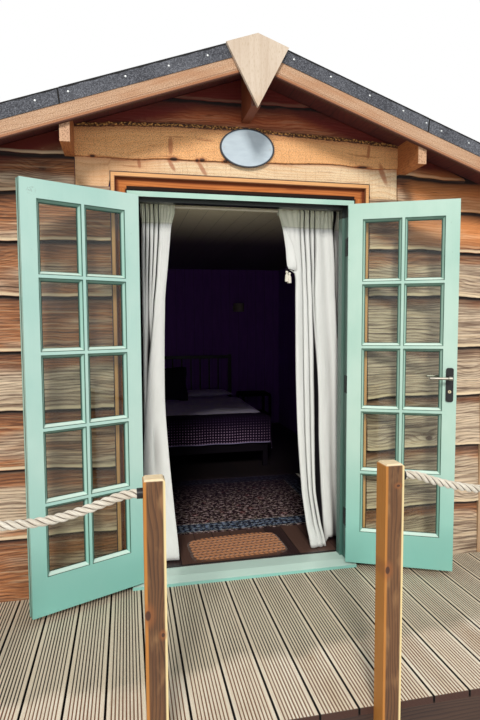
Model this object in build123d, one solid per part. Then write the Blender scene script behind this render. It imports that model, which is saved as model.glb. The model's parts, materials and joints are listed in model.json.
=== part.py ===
from build123d import *
import math
import os

# Holiday lodge: a small clad timber cabin with glazed double doors, a grooved deck, rope posts
# and a bedroom that shows through the doorway.
# Millimetres, +Z up, +Y from the deck into the room. X = 0 is the middle of the doorway, Y = 0
# the front face of the door frame and of the front wall, Z = 0 the ground under the pads.

# Levels from the ground up
PAD_HEIGHT = 50
BEARER_HEIGHT = 60
FLOOR_FRAME_HEIGHT = 100
FLOOR_THICK = 20
DECK_TOP = 200
CEILING_OVER_FRAME = 30
CEILING_THICK = 18

# Plan of the building
BUILDING_WIDTH = 3000
BUILDING_DEPTH = 4300
WALL_THICK = 100
BEARER_WIDTH = 75
BEARER_INSET = 200
BEARER_ROWS = 3
PAD_SIDE = 300
PAD_ROWS = 4
FIRST_PAD_Y = 120
JOIST_THICK = 45
FLOOR_JOIST_PITCH = 430
CORNER_BOARD_THICK = 32
CORNER_BOARD_WIDTH = 90
SKIRT_BOTTOM = 100

# Roof
ROOF_PITCH = 19.18
RIDGE_OVER_OPENING = 630.6
FELT_THICK = 5
FELT_LAP_THICK = 3
FELT_SHEET_WIDTH = 972
FELT_DRIP = 45
PANEL_THICK = 75
EAVES_REACH = 160
FASCIA_THICK = 20
VERGE_REACH = 262.3
BARGE_THICK = 20
BARGE_DEPTH = 140
VERGE_FELT_DEPTH = 67.5
VERGE_FELT_THICK = 4
RIDGE_CAP_THICK = 4
RIDGE_CAP_HALF = 150
JOINT_GAP = 1
PURLIN_WIDTH = 46
PURLIN_INNER_X = 876
PURLIN_DEPTH = 157
RIDGE_BEAM_WIDTH = 46
RIDGE_BEAM_DEPTH = 236
APEX_HALF_WIDTH = 154
APEX_DROP = 341.6
APEX_THICK = 20

# Doorway, from the door frame outwards
FRAME_HALF = 625
FRAME_TOP = 2290
LINING_SIDE = 59
LINING_HEAD = 65
TRIM_WIDTH = 24.4
TRIM_PROUD = 20
JAMB_FACE = 35
HEAD_FACE = 27
STOP_PROUD = 15
SILL_UPSTAND = 28
SILL_NOSE = 65.3
SILL_NOSE_HEIGHT = 17
SILL_HORN = 7.5
DOOR_GAP = 5
HEADER_THICK = 22
HEADER_SIDE_HEIGHT = 210.6
HEADER_MIDDLE_HEIGHT = 260.6
HEADER_EAR_DROP = 26.4
PLAQUE_WIDTH = 296
PLAQUE_HEIGHT = 200
PLAQUE_THICK = 8
PLAQUE_RIM = 9
PLAQUE_RIM_PROUD = 2
PLAQUE_X = 4
PLAQUE_RISE = 150.6

# Door leaves
LEAF_THICK = 44
PIVOT_OUT = 6
MEETING_GAP = 5.8
CLOSING_BEVEL = 2
HINGE_STILE = 80
CLOSING_STILE = 77
TOP_RAIL = 88
BOTTOM_RAIL = 186
GLAZING_BAR = 20
BEAD_BEVEL = 6.5
PANE_THICK = 4
PANE_GROOVE = 6
PANE_COLUMNS = 2
PANE_ROWS = 5
LEFT_OPEN = 154.3
RIGHT_OPEN = 155.5

# Hinges
HINGE_HEIGHT = 100
HINGE_LOW = 245
HINGE_HIGH = 226
FLAP_THICK = 2.2
FLAP_WIDTH = 32
KNUCKLE_RADIUS = 5.5
KNUCKLE_MIDDLE = 34
HINGE_PIN_RADIUS = 2.5
PIN_CLEARANCE = 0.1
KNUCKLE_CLEARANCE = 0.3
FLAP_CLEARANCE = 0.5

# Lock and lever handle on the right leaf
LOCK_PLATE_WIDTH = 39
LOCK_PLATE_HEIGHT = 185
LOCK_PLATE_THICK = 6
LOCK_PLATE_BOTTOM = 1176
LOCK_PLATE_CORNER = 11.7
LEVER_Z = 1307
LEVER_NECK_RADIUS = 8
LEVER_HUB_RADIUS = 10
LEVER_BAR_RADIUS = 7
LEVER_ROUNDING = 4
LEVER_LENGTH = 107
LEVER_STAND = 42
SPINDLE_RADIUS = 4
LOCK_BORE_RADIUS = 10
CYLINDER_Z = 1232
CYLINDER_RADIUS = 8.5
CYLINDER_PROUD = 3

# Deck
DECK_BOARD = 145
DECK_GAP = 6.5
DECK_BOARDS = 20
DECK_BOARD_THICK = 28
DECK_SHIFT = 16
DECK_FRONT = -1119.3
DECK_BACK = -35
DECK_JOISTS = 4
DECK_PAD_SIDE = 250
DECK_PAD_INSET = 10
DECK_PAD_COLUMNS = 4
POST_SIDE = 69
POST_TOP = 1119
POST_CHAMFER = 8
POST_LEFT_FACES = (-598.5, 224)
END_POST_INSET = 65

# Ropes between the posts, in a plane across the middle of the posts
ROPE_DIAMETER = 29
ROPE_SIDES = 10
ROPE_SOCKET_LENGTH = 19
ROPE_SOCKET_RADIUS = 17
ROPE_END_Z = 1069
LEFT_ROPE_ROUTE = (
    (-617.5, ROPE_END_Z), (-655, ROPE_END_Z), (-712, 1049), (-790, 1023.5), (-880, 1002.5),
    (-980.1, 996), (-1080.2, 1002.5), (-1170.2, 1023.5), (-1248.2, 1049), (-1305.2, ROPE_END_Z),
    (-1342.75, ROPE_END_Z),
)
RIGHT_ROPE_ROUTE = (
    (312, ROPE_END_Z), (350, ROPE_END_Z), (408, 1047), (490, 1021), (590, 999.5), (710, 983.5),
    (843.4, 979), (976.8, 983.5), (1096.8, 999.5), (1196.8, 1021), (1278.8, 1047),
    (1336.8, ROPE_END_Z), (1374.75, ROPE_END_Z),
)

# Room
SEAT_GAP = 0.3
ROD_RADIUS = 8
ROD_FROM_WALL = 100
ROD_DROP = 62
ROD_OVERHANG = 66
ROD_BRACKET_INSET = 15
ROD_BRACKET_RADIUS = 5.6
ROD_ROSE_RADIUS = 20
ROD_ROSE_THICK = 4
CURTAIN_DEPTH = 100
CURTAIN_HEM = 240
CURTAIN_INSET = 30
MAT_LENGTH = 590
MAT_DEPTH = 330
MAT_THICK = 15
MAT_CENTRE_Y = 287
MAT_CORNER = 60
MAT_TURN = 3
RUG_WIDTH = 1700
RUG_DEPTH = 1200
RUG_THICK = 8
RUG_FRONT_Y = 545
BED_WIDTH = 1350
BED_LENGTH = 2050
BED_FROM_WALL = 70
MATTRESS_THICK = 200
MATTRESS_TOP = 670
MATTRESS_CORNER = 40
DUVET_THICK = 22
DUVET_TOP_THICK = 33
DUVET_HEM = 540
DUVET_FROM_HEAD = 530
BLANKET_THICK = 12
BLANKET_HEM = 455
BLANKET_OVER_FOOT = 220
BED_RAIL_HEIGHT = 90
BED_RAIL_THICK = 25
BED_LEG = 45
BED_POST = 40
BED_RAIL_SQUARE = 30
HEADBOARD_TOP = 1185
HEADBOARD_RAIL = 40
HEADBOARD_LOW_RAIL = 620
HEADBOARD_BAR = 14
BAR_PITCH = 120
HEADBOARD_BARS = 10
PILLOW_WIDTH = 620
PILLOW_DEPTH = 460
PILLOW_THICK = 125
PILLOW_CORNER = 70
PILLOW_GAP = 50
CUSHION_SIDE = 430
CUSHION_THICK = 120
CUSHION_CORNER = 50
CUSHION_X = -175
CUSHION_FROM_PILLOWS = 345
CUSHION_LEAN = 26
TABLE_FROM_BED = 85
TABLE_SIDE = 380
TABLE_TOP_Z = 690
TABLE_TOP_THICK = 22
TABLE_LEG = 28
TABLE_SHELF_Z = 430
LIGHT_X = 815
LIGHT_Z = 1815
LIGHT_PLATE_THICK = 8
LIGHT_ARM_RADIUS = 8
LIGHT_PLATE_RADIUS = 55
LIGHT_SHADE_RADIUS = 70
LIGHT_SHADE_HEIGHT = 110
LIGHT_ARM_LENGTH = 60

# Free edges of the two curtains, from the hem up, as distance from the middle and height
LEFT_CURTAIN_EDGE = ((380, CURTAIN_HEM), (425, 759), (431, 1168), (417, 1741), (365, 2235))
RIGHT_CURTAIN_EDGE = ((440, CURTAIN_HEM), (405, 392), (365, 833), (344, 1744), (306, 1892), (250, 2235))

# Sizes that follow from the ones above
HALF_WIDTH = BUILDING_WIDTH / 2
ROOM_HALF = HALF_WIDTH - WALL_THICK
ROOM_BACK = BUILDING_DEPTH - WALL_THICK
FRAME_LEVEL = PAD_HEIGHT + BEARER_HEIGHT + FLOOR_FRAME_HEIGHT
FLOOR_TOP = FRAME_LEVEL + FLOOR_THICK
OPENING_HALF = FRAME_HALF + LINING_SIDE
OPENING_TOP = FRAME_TOP + LINING_HEAD
CEILING_UNDERSIDE = FRAME_TOP + CEILING_OVER_FRAME
RIDGE_TOP = OPENING_TOP + RIDGE_OVER_OPENING
SLOPE = math.tan(math.radians(ROOF_PITCH))
COS_PITCH = math.cos(math.radians(ROOF_PITCH))
FELT_LAP_X = FELT_SHEET_WIDTH * COS_PITCH
PANEL_EDGE = HALF_WIDTH + EAVES_REACH
FASCIA_FACE = PANEL_EDGE + FASCIA_THICK
BARGE_FRONT = -VERGE_REACH
BARGE_BACK = BARGE_FRONT + BARGE_THICK
REAR_BARGE_FRONT = BUILDING_DEPTH + VERGE_REACH
REAR_BARGE_BACK = REAR_BARGE_FRONT - BARGE_THICK
REBATE_HALF = FRAME_HALF - JAMB_FACE
SILL_TOP = DECK_TOP + SILL_UPSTAND
LEAF_BOTTOM = SILL_TOP + DOOR_GAP
LEAF_TOP = FRAME_TOP - HEAD_FACE - DOOR_GAP
LEAF_EDGE = REBATE_HALF - DOOR_GAP
LEAF_WIDTH = LEAF_EDGE - MEETING_GAP / 2
STOP_Y = LEAF_THICK + DOOR_GAP
PIVOT_X = REBATE_HALF - DOOR_GAP / 2
LOCK_X = MEETING_GAP / 2 + CLOSING_STILE / 2
DECK_HALF = (DECK_BOARDS * DECK_BOARD + (DECK_BOARDS - 1) * DECK_GAP) / 2
DECK_LEFT = DECK_SHIFT - DECK_HALF
DECK_RIGHT = DECK_SHIFT + DECK_HALF
DECK_FRAME_TOP = DECK_TOP - DECK_BOARD_THICK
POST_CENTRE_Y = DECK_FRONT - POST_SIDE / 2
POST_X = (DECK_LEFT + END_POST_INSET, *POST_LEFT_FACES, DECK_RIGHT - END_POST_INSET - POST_SIDE)
TRIM_OUTER = OPENING_HALF + TRIM_WIDTH
HEADER_BOTTOM = OPENING_TOP + TRIM_WIDTH
ROD_Y = WALL_THICK + ROD_FROM_WALL
ROD_Z = CEILING_UNDERSIDE - ROD_DROP
ROD_HALF = OPENING_HALF + ROD_OVERHANG
CURTAIN_OUTER = ROD_HALF - CURTAIN_INSET
BED_HALF = BED_WIDTH / 2
BED_HEAD_Y = ROOM_BACK - BED_FROM_WALL - BED_POST
BED_FOOT_Y = BED_HEAD_Y - BED_LENGTH
DUVET_HEAD_Y = BED_HEAD_Y - DUVET_FROM_HEAD
MATTRESS_BOTTOM = MATTRESS_TOP - MATTRESS_THICK
TABLE_X = BED_HALF + BED_POST + TABLE_FROM_BED


# Shape helpers
def block(x0, x1, y0, y1, z0, z1):
    """A rectangular solid between two corners."""
    centre = Pos((x0 + x1) / 2, (y0 + y1) / 2, (z0 + z1) / 2)
    return centre * Box(x1 - x0, y1 - y0, z1 - z0)


def across(points, y0, y1):
    """A solid whose outline is drawn in X and Z and runs along Y."""
    outline = Wire.make_polygon([(x, y0, z) for x, z in points], close=True)
    return extrude(Face(outline), amount=y1 - y0, dir=(0, 1, 0))


def along(points, x0, x1):
    """A solid whose outline is drawn in Y and Z and runs along X."""
    outline = Wire.make_polygon([(x0, y, z) for y, z in points], close=True)
    return extrude(Face(outline), amount=x1 - x0, dir=(1, 0, 0))


def upright(points, z0, z1):
    """A solid whose outline is drawn in X and Y and stands up along Z."""
    outline = Wire.make_polygon([(x, y, z0) for x, y in points], close=True)
    return extrude(Face(outline), amount=z1 - z0, dir=(0, 0, 1))


def rod_y(x, z, radius, y0, y1):
    """A round bar along Y."""
    return Pos(x, (y0 + y1) / 2, z) * Rot(90, 0, 0) * Cylinder(radius, y1 - y0)


def rod_x(y, z, radius, x0, x1):
    """A round bar along X."""
    return Pos((x0 + x1) / 2, y, z) * Rot(0, 90, 0) * Cylinder(radius, x1 - x0)


def rod_z(x, y, radius, z0, z1):
    """A round bar along Z."""
    return Pos(x, y, (z0 + z1) / 2) * Cylinder(radius, z1 - z0)


def mirrored(shape):
    """The same piece on the other side of the middle of the doorway."""
    return mirror(shape, about=Plane.YZ)


def both_sides(shape):
    """A right-hand piece and its mirror image."""
    return [shape, mirrored(shape)]


def roof_z(x, depth=0):
    """Height of the roof at x, measured square to the slope down from the top of the felt."""
    return RIDGE_TOP - abs(x) * SLOPE - depth / COS_PITCH


def underside(x):
    """Height of the roof panels' lower face, which the walls and beams reach."""
    return roof_z(x, FELT_THICK + PANEL_THICK)


def save(name, *shapes):
    """Write one named piece, made of one or more solids."""
    solids = [solid for shape in shapes for solid in shape.solids()]
    shape = solids[0] if len(solids) == 1 else Compound(children=solids)
    export_step(shape, f"parts/{name}.step")


# Foundation and floor
def foundation_pads():
    pads = []
    for x in bearer_places():
        for row in range(PAD_ROWS):
            last_y = BUILDING_DEPTH - FIRST_PAD_Y
            y = FIRST_PAD_Y + row * (last_y - FIRST_PAD_Y) / (PAD_ROWS - 1)
            pads.append(Pos(x, y, PAD_HEIGHT / 2) * Box(PAD_SIDE, PAD_SIDE, PAD_HEIGHT))
    edge = DECK_PAD_SIDE / 2
    pitch = (2 * DECK_HALF - DECK_PAD_SIDE) / (DECK_PAD_COLUMNS - 1)
    for column in range(DECK_PAD_COLUMNS):
        x = DECK_LEFT + edge + column * pitch
        for y in (DECK_FRONT + DECK_PAD_INSET + edge, DECK_BACK - DECK_PAD_INSET - edge):
            pads.append(Pos(x, y, PAD_HEIGHT / 2) * Box(DECK_PAD_SIDE, DECK_PAD_SIDE, PAD_HEIGHT))
    return pads


def bearer_places():
    reach = HALF_WIDTH - BEARER_INSET
    return [reach * (2 * row / (BEARER_ROWS - 1) - 1) for row in range(BEARER_ROWS)]


def floor_bearers():
    half = BEARER_WIDTH / 2
    top = PAD_HEIGHT + BEARER_HEIGHT
    return [block(x - half, x + half, 0, BUILDING_DEPTH, PAD_HEIGHT, top) for x in bearer_places()]


def joisted_frame(x0, x1, y0, y1, z0, z1, bays):
    """Two rim boards along Y with joists between them, a hairline joint at each joist end."""
    timbers = [block(x0, x0 + JOIST_THICK, y0, y1, z0, z1), block(x1 - JOIST_THICK, x1, y0, y1, z0, z1)]
    reach = JOIST_THICK + JOINT_GAP / 2
    pitch = (y1 - y0 - JOIST_THICK) / bays
    for number in range(bays + 1):
        y = y0 + number * pitch
        timbers.append(block(x0 + reach, x1 - reach, y, y + JOIST_THICK, z0, z1))
    return timbers


def floor_frame():
    bays = round(BUILDING_DEPTH / FLOOR_JOIST_PITCH)
    low = FRAME_LEVEL - FLOOR_FRAME_HEIGHT
    return joisted_frame(-HALF_WIDTH, HALF_WIDTH, 0, BUILDING_DEPTH, low, FRAME_LEVEL, bays)


# Walls
def beam_notches(y0, y1):
    """What the ridge beam and the purlins take out of a gable."""
    return [across(outline, y0 - 1, y1 + 1) for outline in beam_outlines()]


def beam_outlines():
    half = RIDGE_BEAM_WIDTH / 2
    inner, outer = PURLIN_INNER_X, PURLIN_INNER_X + PURLIN_WIDTH
    ridge_bottom, purlin_bottom = underside(0) - RIDGE_BEAM_DEPTH, underside(inner) - PURLIN_DEPTH
    ridge = [(-half, ridge_bottom), (half, ridge_bottom), (half, underside(half)), (0, underside(0)),
             (-half, underside(half))]
    right = [(inner, purlin_bottom), (outer, purlin_bottom), (outer, underside(outer)),
             (inner, underside(inner))]
    left = [(-x, z) for x, z in reversed(right)]
    return [ridge, right, left]


def gable(bottom, y0, y1):
    """A wall across the building from the given height up to the roof."""
    wall = across([(-HALF_WIDTH, bottom), (HALF_WIDTH, bottom), (HALF_WIDTH, underside(HALF_WIDTH)),
                   (0, underside(0)), (-HALF_WIDTH, underside(HALF_WIDTH))], y0, y1)
    for notch in beam_notches(y0, y1):
        wall -= notch
    return wall


def side_wall():
    outline = [(ROOM_HALF, FRAME_LEVEL), (HALF_WIDTH, FRAME_LEVEL),
               (HALF_WIDTH, underside(HALF_WIDTH)), (ROOM_HALF, underside(ROOM_HALF))]
    return across(outline, WALL_THICK, ROOM_BACK)


def corner_boards():
    """An L-shaped board round each corner of the building."""
    face, out = HALF_WIDTH, HALF_WIDTH + CORNER_BOARD_THICK
    back = out - CORNER_BOARD_WIDTH
    depth = CORNER_BOARD_WIDTH - CORNER_BOARD_THICK
    front = [(back, -CORNER_BOARD_THICK), (out, -CORNER_BOARD_THICK), (out, depth), (face, depth),
             (face, 0), (back, 0)]
    rear = [(x, BUILDING_DEPTH - y) for x, y in reversed(front)]
    top = underside(out) - JOINT_GAP
    boards = []
    for outline in (front, rear):
        boards += both_sides(upright(outline, SKIRT_BOTTOM, top))
    return boards


# Roof
def roof_panel():
    outline = [(0, roof_z(0, FELT_THICK)), (PANEL_EDGE, roof_z(PANEL_EDGE, FELT_THICK)),
               (PANEL_EDGE, underside(PANEL_EDGE)), (0, underside(0))]
    return across(outline, BARGE_BACK, REAR_BARGE_BACK)


def roof_felt():
    """Felt on the right slope: the upper sheet laps the lower one, which folds down at the eaves."""
    edge = FASCIA_FACE
    out = edge + FELT_THICK
    lap = FELT_LAP_THICK
    outline = [(JOINT_GAP, roof_z(JOINT_GAP, -lap)), (FELT_LAP_X, roof_z(FELT_LAP_X, -lap)),
               (FELT_LAP_X, roof_z(FELT_LAP_X)), (out, roof_z(out)), (out, roof_z(out) - FELT_DRIP),
               (edge, roof_z(out) - FELT_DRIP), (edge, roof_z(edge, FELT_THICK)),
               (JOINT_GAP, roof_z(JOINT_GAP, FELT_THICK))]
    return across(outline, BARGE_FRONT, REAR_BARGE_FRONT)


def ridge_cap():
    half, low, high = RIDGE_CAP_HALF, -FELT_LAP_THICK, -FELT_LAP_THICK - RIDGE_CAP_THICK
    outline = [(-half, roof_z(half, low)), (0, roof_z(0, low)), (half, roof_z(half, low)),
               (half, roof_z(half, high)), (0, roof_z(0, high)), (-half, roof_z(half, high))]
    return across(outline, BARGE_FRONT, REAR_BARGE_FRONT)


def sloping_board(x0, x1, top, bottom, y0, y1):
    """A board that follows the right slope between two depths below the felt."""
    outline = [(x0, roof_z(x0, top)), (x1, roof_z(x1, top)), (x1, roof_z(x1, bottom)),
               (x0, roof_z(x0, bottom))]
    return across(outline, y0, y1)


def bargeboards():
    boards = []
    for y0, y1 in ((BARGE_FRONT, BARGE_BACK), (REAR_BARGE_BACK, REAR_BARGE_FRONT)):
        board = sloping_board(JOINT_GAP / 2, FASCIA_FACE, FELT_THICK, FELT_THICK + BARGE_DEPTH, y0, y1)
        boards += both_sides(board)
    return boards


def eaves_fascias():
    board = sloping_board(PANEL_EDGE, FASCIA_FACE, FELT_THICK, FELT_THICK + BARGE_DEPTH,
                          BARGE_BACK, REAR_BARGE_BACK)
    return both_sides(board)


def verge_felt():
    """Strips of felt turned down over the bargeboards, in two lengths on each slope."""
    strips = []
    ends = ((BARGE_FRONT - VERGE_FELT_THICK, BARGE_FRONT),
            (REAR_BARGE_FRONT, REAR_BARGE_FRONT + VERGE_FELT_THICK))
    spans = ((JOINT_GAP, FELT_LAP_X), (FELT_LAP_X + JOINT_GAP, FASCIA_FACE + FELT_THICK))
    for y0, y1 in ends:
        for x0, x1 in spans:
            strips += both_sides(sloping_board(x0, x1, 0, VERGE_FELT_DEPTH, y0, y1))
    return strips


def roof_beams():
    return [across(outline, BARGE_BACK, REAR_BARGE_BACK) for outline in beam_outlines()]


def apex_plates():
    half = APEX_HALF_WIDTH
    outline = [(0, RIDGE_TOP), (half, roof_z(half)), (0, RIDGE_TOP - APEX_DROP), (-half, roof_z(half))]
    front = BARGE_FRONT - VERGE_FELT_THICK
    rear = REAR_BARGE_FRONT + VERGE_FELT_THICK
    return [across(outline, front - APEX_THICK, front), across(outline, rear, rear + APEX_THICK)]


# Doorway
def header_board():
    """The wide board over the doorway: a waney top edge, and an ear down beside each end of the trim."""
    x, ear_x = PURLIN_INNER_X, TRIM_OUTER + JOINT_GAP
    side_top = HEADER_BOTTOM + HEADER_SIDE_HEIGHT
    ear = HEADER_BOTTOM - HEADER_EAR_DROP
    top = Spline((-x, 0, side_top), (0, 0, HEADER_BOTTOM + HEADER_MIDDLE_HEIGHT), (x, 0, side_top))
    sides = Polyline((x, 0, side_top), (x, 0, ear), (ear_x, 0, ear), (ear_x, 0, HEADER_BOTTOM),
                     (-ear_x, 0, HEADER_BOTTOM), (-ear_x, 0, ear), (-x, 0, ear), (-x, 0, side_top))
    return extrude(make_face([top, sides]), amount=HEADER_THICK, dir=(0, -1, 0))


def name_plaque():
    """A bare oval plate with a raised rim."""
    centre = (PLAQUE_X, -HEADER_THICK, HEADER_BOTTOM + PLAQUE_RISE)
    face = Plane(origin=centre, x_dir=(1, 0, 0), z_dir=(0, -1, 0))
    half_width, half_height = PLAQUE_WIDTH / 2, PLAQUE_HEIGHT / 2
    oval = extrude(face * Ellipse(half_width, half_height), amount=PLAQUE_THICK + PLAQUE_RIM_PROUD)
    dish = extrude(face.offset(PLAQUE_THICK) * Ellipse(half_width - PLAQUE_RIM, half_height - PLAQUE_RIM),
                   amount=PLAQUE_RIM_PROUD)
    return oval - dish


def three_sided(half, inner_half, top, inner_top, y0, y1, bottom):
    """Two uprights and a piece across the top, with a hairline joint between them."""
    side = block(inner_half, half, y0, y1, bottom, inner_top - JOINT_GAP / 2)
    return [*both_sides(side), block(-half, half, y0, y1, inner_top, top)]


def door_frame():
    """Jambs and head, each with a stop that the closed leaves meet."""
    reveal = REBATE_HALF - STOP_PROUD
    plan = [(REBATE_HALF, 0), (FRAME_HALF, 0), (FRAME_HALF, WALL_THICK), (reveal, WALL_THICK),
            (reveal, STOP_Y), (REBATE_HALF, STOP_Y)]
    head_bottom = FRAME_TOP - HEAD_FACE
    jamb = upright(plan, SILL_TOP, head_bottom - JOINT_GAP / 2)
    head = block(-FRAME_HALF, FRAME_HALF, 0, WALL_THICK, head_bottom, FRAME_TOP)
    stop_half = reveal - JOINT_GAP / 2
    head += block(-stop_half, stop_half, STOP_Y, WALL_THICK, head_bottom - STOP_PROUD, head_bottom)
    return [*both_sides(jamb), head]


def door_sill():
    nose_top = DECK_TOP + SILL_NOSE_HEIGHT
    nose_half = FRAME_HALF + SILL_HORN
    nose = along([(-SILL_NOSE, DECK_TOP), (0, DECK_TOP), (0, SILL_TOP), (-SILL_NOSE, nose_top)],
                 -nose_half, nose_half)
    return nose + block(-FRAME_HALF, FRAME_HALF, 0, WALL_THICK, FRAME_LEVEL, SILL_TOP)


# Door leaves, drawn shut on the left and then swung open
def leaf_frame():
    """Stiles, rails and glazing bars of the left leaf, with bevelled beads round every pane."""
    outer, inner = -MEETING_GAP / 2, -MEETING_GAP / 2 - CLOSING_BEVEL
    leaf = upright([(-LEAF_EDGE, 0), (outer, 0), (inner, LEAF_THICK), (-LEAF_EDGE, LEAF_THICK)],
                   LEAF_BOTTOM, LEAF_TOP)
    wide, high = pane_size()
    bevel_depth = (LEAF_THICK - PANE_THICK) / 2
    taper = math.degrees(math.atan(BEAD_BEVEL / bevel_depth))
    for x, z in pane_centres():
        front = Plane(origin=(x, 0, z), x_dir=(1, 0, 0), z_dir=(0, 1, 0))
        back = Plane(origin=(x, LEAF_THICK, z), x_dir=(1, 0, 0), z_dir=(0, -1, 0))
        for face in (front, back):
            leaf -= extrude(face * Rectangle(wide, high), amount=bevel_depth, taper=taper)
        leaf -= pane(x, z)
    return leaf


def pane_size():
    """Opening in the face of the leaf round one pane."""
    wide = (LEAF_WIDTH - HINGE_STILE - CLOSING_STILE - (PANE_COLUMNS - 1) * GLAZING_BAR) / PANE_COLUMNS
    high = (LEAF_TOP - LEAF_BOTTOM - TOP_RAIL - BOTTOM_RAIL - (PANE_ROWS - 1) * GLAZING_BAR) / PANE_ROWS
    return wide, high


def pane_centres():
    wide, high = pane_size()
    centres = []
    for column in range(PANE_COLUMNS):
        for row in range(PANE_ROWS):
            x = -LEAF_EDGE + HINGE_STILE + wide / 2 + column * (wide + GLAZING_BAR)
            z = LEAF_BOTTOM + BOTTOM_RAIL + high / 2 + row * (high + GLAZING_BAR)
            centres.append((x, z))
    return centres


def pane(x, z):
    """One sheet of glass, let into a groove behind the beads."""
    wide, high = pane_size()
    grow = 2 * (PANE_GROOVE - BEAD_BEVEL)
    return Pos(x, LEAF_THICK / 2, z) * Box(wide + grow, PANE_THICK, high + grow)


def glazing():
    return [pane(x, z) for x, z in pane_centres()]


def hinge_heights():
    low, high = LEAF_BOTTOM + HINGE_LOW, LEAF_TOP - HINGE_HIGH
    return (low, (low + high) / 2, high)


def hinge_flap(side, z, knuckles, bore):
    """A flap with its knuckles. side is -1 on the jamb and 1 on the leaf of the left door."""
    x, y, half = -PIVOT_X, -PIVOT_OUT, HINGE_HEIGHT / 2
    near, far = sorted((x + side * (DOOR_GAP / 2 - FLAP_THICK), x + side * DOOR_GAP / 2))
    start = y + KNUCKLE_RADIUS + FLAP_CLEARANCE
    flap = block(near, far, start, start + FLAP_WIDTH, z - half, z + half)
    for low, high in knuckles:
        flap += rod_z(x, y, KNUCKLE_RADIUS, z + low, z + high)
        flap += block(near, far, y, start, z + low, z + high)
    return flap - rod_z(x, y, bore, z - half, z + half) if bore else flap


def fixed_hinges():
    """Jamb flaps with the outer knuckles and the pin, for the left door."""
    half, middle = HINGE_HEIGHT / 2, KNUCKLE_MIDDLE / 2
    flaps = []
    for z in hinge_heights():
        flap = hinge_flap(-1, z, ((-half, -middle), (middle, half)), 0)
        flaps.append(flap + rod_z(-PIVOT_X, -PIVOT_OUT, HINGE_PIN_RADIUS, z - half, z + half))
    return flaps


def leaf_hinges():
    """Leaf flaps with the middle knuckle, for the left door."""
    reach = KNUCKLE_MIDDLE / 2 - KNUCKLE_CLEARANCE
    bore = HINGE_PIN_RADIUS + PIN_CLEARANCE
    return [hinge_flap(1, z, ((-reach, reach),), bore) for z in hinge_heights()]


def lock_plates():
    """Rounded plates on both faces of the right leaf, bored for the spindle."""
    plates = []
    centre_z = LOCK_PLATE_BOTTOM + LOCK_PLATE_HEIGHT / 2
    for y, out in ((0, -1), (LEAF_THICK, 1)):
        face = Plane(origin=(LOCK_X, y, centre_z), x_dir=(1, 0, 0), z_dir=(0, out, 0))
        outline = RectangleRounded(LOCK_PLATE_WIDTH, LOCK_PLATE_HEIGHT, LOCK_PLATE_CORNER)
        plate = extrude(face * outline, amount=LOCK_PLATE_THICK)
        rim = LOCK_PLATE_THICK + CYLINDER_PROUD
        y0, y1 = sorted((y, y + out * rim))
        plate += rod_y(LOCK_X, CYLINDER_Z, CYLINDER_RADIUS, y0, y1)
        plate -= rod_y(LOCK_X, LEVER_Z, SPINDLE_RADIUS + PIN_CLEARANCE, y0 - 1, y1 + 1)
        plates.append(plate)
    return plates


def lever():
    """A turned lever along X: a round bar that grows into a thicker hub, with both ends rounded over."""
    hub, bar, step = LEVER_HUB_RADIUS, LEVER_BAR_RADIUS, LEVER_ROUNDING
    profile = [(-hub, 0), (-hub, hub - step), (step - hub, hub), (hub, hub), (hub + step, bar),
               (LEVER_LENGTH, bar), (LEVER_LENGTH + step, bar - step), (LEVER_LENGTH + step, 0)]
    outline = Wire.make_polygon([(x, 0, r) for x, r in profile], close=True)
    return revolve(Face(outline), axis=Axis.X)


def door_handle():
    """A lever on each face of the right leaf, joined by the spindle."""
    stand = LOCK_PLATE_THICK + LEVER_STAND
    handle = rod_y(LOCK_X, LEVER_Z, SPINDLE_RADIUS, -stand, LEAF_THICK + stand)
    clear = LOCK_PLATE_THICK + FLAP_CLEARANCE
    for y, out in ((0, -1), (LEAF_THICK, 1)):
        y0, y1 = sorted((y + out * clear, y + out * stand))
        handle += rod_y(LOCK_X, LEVER_Z, LEVER_NECK_RADIUS, y0, y1)
        handle += Pos(LOCK_X, y + out * stand, LEVER_Z) * lever()
    return handle


def swing_left(shape):
    """Turn a left-hand piece about its hinge pins to where the open leaf stands."""
    return shape.rotate(Axis((-PIVOT_X, -PIVOT_OUT, 0), (0, 0, 1)), -LEFT_OPEN)


def swing_right(shape):
    """The same for a right-hand piece."""
    return shape.rotate(Axis((PIVOT_X, -PIVOT_OUT, 0), (0, 0, 1)), RIGHT_OPEN)


def right_leaf():
    """The mirrored leaf with the bore that the lock takes."""
    bore = rod_y(LOCK_X, LEVER_Z, LOCK_BORE_RADIUS, -1, LEAF_THICK + 1)
    return mirrored(leaf_frame()) - bore


# Deck
def deck_boards():
    boards = []
    for number in range(DECK_BOARDS):
        x = DECK_LEFT + number * (DECK_BOARD + DECK_GAP)
        boards.append(block(x, x + DECK_BOARD, DECK_FRONT, DECK_BACK, DECK_FRAME_TOP, DECK_TOP))
    return boards


def deck_frame():
    return joisted_frame(DECK_LEFT, DECK_RIGHT, DECK_FRONT, DECK_BACK, PAD_HEIGHT, DECK_FRAME_TOP,
                         DECK_JOISTS - 1)


def deck_posts():
    """Square posts bolted to the front of the deck, with their top edges planed off."""
    posts = []
    for x in POST_X:
        post = block(x, x + POST_SIDE, DECK_FRONT - POST_SIDE, DECK_FRONT, 0, POST_TOP)
        posts.append(chamfer(post.faces().sort_by(Axis.Z)[-1].edges(), POST_CHAMFER))
    return posts


def rope_sockets():
    """Short round sockets on the posts that hold the ends of the ropes."""
    sockets = []
    faces = ((POST_X[0] + POST_SIDE, 1), (POST_X[1], -1), (POST_X[2] + POST_SIDE, 1), (POST_X[3], -1))
    for face, out in faces:
        x0, x1 = sorted((face, face + out * ROPE_SOCKET_LENGTH))
        sockets.append(rod_x(POST_CENTRE_Y, ROPE_END_Z, ROPE_SOCKET_RADIUS, x0, x1))
    return sockets


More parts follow.
